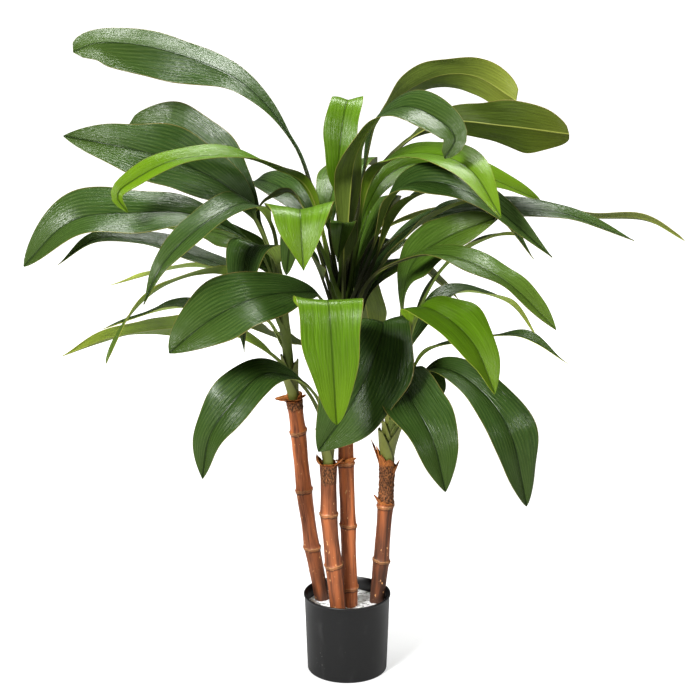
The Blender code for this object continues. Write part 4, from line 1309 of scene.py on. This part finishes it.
def floor_material(settings):
    """A pale matt floor that glows white to the camera, less so near the pot."""
    material, nodes, sockets = start_material("studio_floor", specular=0.0)
    seen = nodes.add("LightPath").outputs["Is Camera Ray"]
    away = nodes.add("VectorMath", {0: nodes.spot()}, operation="LENGTH").outputs["Value"]
    far = nodes.times(nodes.step(away, *GLOW_REACH), settings.floor_glow - settings.near_glow)
    nodes.feed(sockets, {
        "Base Color": settings.floor, "Roughness": 0.9, "Emission Color": WHITE,
        "Emission Strength": nodes.times(seen, nodes.plus(far, settings.near_glow))})
    return material


def set_surround(settings):
    """A surround that is white to the camera and lights the plant only a little."""
    world = bpy.data.worlds.new("white_surround")
    world.use_nodes = True
    nodes = Nodes(world.node_tree)
    seen = nodes.add("LightPath").outputs["Is Camera Ray"]
    strength = nodes.plus(nodes.times(seen, 1 - settings.surround), settings.surround)
    nodes.feed(world.node_tree.nodes["Background"].inputs, {"Color": WHITE, "Strength": strength})
    bpy.context.scene.world = world


def add_soft_light(name, spot, aim, size, power):
    lamp = bpy.data.lights.new(name, "AREA")
    lamp.shape, lamp.size, lamp.energy = "DISK", size, power
    light = bpy.data.objects.new(name, lamp)
    light.location = spot
    light.rotation_euler = (Vector(aim) - Vector(spot)).to_track_quat("-Z", "Y").to_euler()
    bpy.context.scene.collection.objects.link(light)
    return light


def add_camera(settings):
    view = bpy.data.cameras.new("camera")
    view.lens, view.sensor_width = CAMERA_LENS, CAMERA_SENSOR
    camera = bpy.data.objects.new("camera", view)
    camera.location = (CAMERA_ASIDE, -settings.camera_distance, settings.camera_height)
    camera.rotation_euler = (math.pi / 2 - settings.pitch, 0, 0)
    bpy.context.scene.collection.objects.link(camera)
    return camera


class CORDYLINE_OT_pot(bpy.types.Operator):
    """Build the satin black pot"""

    bl_idname = "cordyline.pot"
    bl_label = "Pot"

    def execute(self, context):
        build_pot(context.scene.cordyline_pot)
        return {"FINISHED"}


class CORDYLINE_OT_fill(bpy.types.Operator):
    """Build the pale set grit in the pot"""

    bl_idname = "cordyline.fill"
    bl_label = "Fill"

    def execute(self, context):
        build_fill(context.scene.cordyline_pot)
        return {"FINISHED"}


class CORDYLINE_OT_canes(bpy.types.Operator):
    """Build the four jointed canes"""

    bl_idname = "cordyline.canes"
    bl_label = "Canes"

    def execute(self, context):
        material = surface("cane_skin", cane_paint, context.scene.cordyline_canes)
        for seed, (name, stem) in enumerate(STEMS.items(), start=1):
            build_cane(name, stem, seed, material)
        return {"FINISHED"}


class CORDYLINE_OT_husks(bpy.types.Operator):
    """Build the torn husks on the canes' tops"""

    bl_idname = "cordyline.husks"
    bl_label = "Husks"

    def execute(self, context):
        material = surface("husk_fibre", husk_paint, context.scene.cordyline_canes)
        for seed, (name, stem) in enumerate(STEMS.items(), start=1):
            build_husk(name, stem, seed, material)
        return {"FINISHED"}


class CORDYLINE_OT_crown_stems(bpy.types.Operator):
    """Give the pale crown stems their skin and the leaf bases that clasp them"""

    bl_idname = "cordyline.crown_stems"
    bl_label = "Crown Stems"

    def execute(self, context):
        material = surface("crown_skin", crown_paint, context.scene.cordyline_canes)
        for name, stem in STEMS.items():
            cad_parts["crown_stem_" + name].material_slots[0].material = material
            build_sheaths(name, stem, material)
        return {"FINISHED"}


class CORDYLINE_OT_leaves(bpy.types.Operator):
    """Build every leaf with its sheath, stalk and veined blade"""

    bl_idname = "cordyline.leaves"
    bl_label = "Leaves"

    def execute(self, context):
        settings = context.scene.cordyline_leaves
        skins = {pale: leaf_skins(settings, pale) for pale in (False, True)}
        for crown, leaves in LEAVES.items():
            for index, leaf in enumerate(leaves, start=1):
                label = f"{crown}_{index:02d}"
                build_leaf("blade_" + label, crown, index, leaf, skins, "leaf_" + label, settings)
        for index, (crown, leaf) in enumerate(SMALL_LEAVES, start=1):
            build_leaf(f"small_blade_{index}", crown, index, leaf, skins, None, settings)
        return {"FINISHED"}


class CORDYLINE_OT_studio(bpy.types.Operator):
    """Set up the pale floor, the soft lights and the camera"""

    bl_idname = "cordyline.studio"
    bl_label = "Studio"

    def execute(self, context):
        settings, scene = context.scene.cordyline_studio, context.scene
        reach = settings.floor_reach
        corners = [(-reach, -reach, 0), (reach, -reach, 0), (reach, reach, 0), (-reach, reach, 0)]
        add_stage_piece("studio_floor", corners, [(0, 1, 2, 3)], floor_material(settings))
        set_surround(settings)
        for name, (spot, aim, size, share) in LIGHTS.items():
            add_soft_light(name, spot, aim, size, settings.key * share)
        scene.camera = add_camera(settings)
        scene.view_settings.view_transform = "Standard"
        scene.view_settings.look = "Medium High Contrast"
        return {"FINISHED"}


class CORDYLINE_PT_panel(bpy.types.Panel):
    """The pieces of the plant and their settings"""

    bl_idname = "CORDYLINE_PT_panel"
    bl_label = "Potted Cordyline"
    bl_space_type = "VIEW_3D"
    bl_region_type = "UI"
    bl_category = "Cordyline"

    def draw(self, context):
        layout = self.layout
        for operator in OPERATORS:
            layout.operator(operator.bl_idname)
        for label in SETTINGS:
            box = layout.box()
            settings = getattr(context.scene, label)
            for name in settings.__annotations__:
                box.prop(settings, name)


SETTINGS = {
    "cordyline_leaves": CordylineLeafSettings,
    "cordyline_canes": CordylineCaneSettings,
    "cordyline_pot": CordylinePotSettings,
    "cordyline_studio": CordylineStudioSettings,
}
OPERATORS = (
    CORDYLINE_OT_studio,
    CORDYLINE_OT_pot,
    CORDYLINE_OT_fill,
    CORDYLINE_OT_canes,
    CORDYLINE_OT_husks,
    CORDYLINE_OT_crown_stems,
    CORDYLINE_OT_leaves,
)


def register():
    for group in SETTINGS.values():
        bpy.utils.register_class(group)
    for label, group in SETTINGS.items():
        setattr(bpy.types.Scene, label, PointerProperty(type=group))
    for shown in (*OPERATORS, CORDYLINE_PT_panel):
        bpy.utils.register_class(shown)


def unregister():
    for shown in reversed((*OPERATORS, CORDYLINE_PT_panel)):
        bpy.utils.unregister_class(shown)
    for label, group in reversed(SETTINGS.items()):
        delattr(bpy.types.Scene, label)
        bpy.utils.unregister_class(group)


def main():
    """Builds every piece in order."""
    register()
    bpy.ops.cordyline.studio()
    bpy.ops.cordyline.pot()
    bpy.ops.cordyline.fill()
    bpy.ops.cordyline.canes()
    bpy.ops.cordyline.husks()
    bpy.ops.cordyline.crown_stems()
    bpy.ops.cordyline.leaves()


if __name__ == "__main__":
    main()
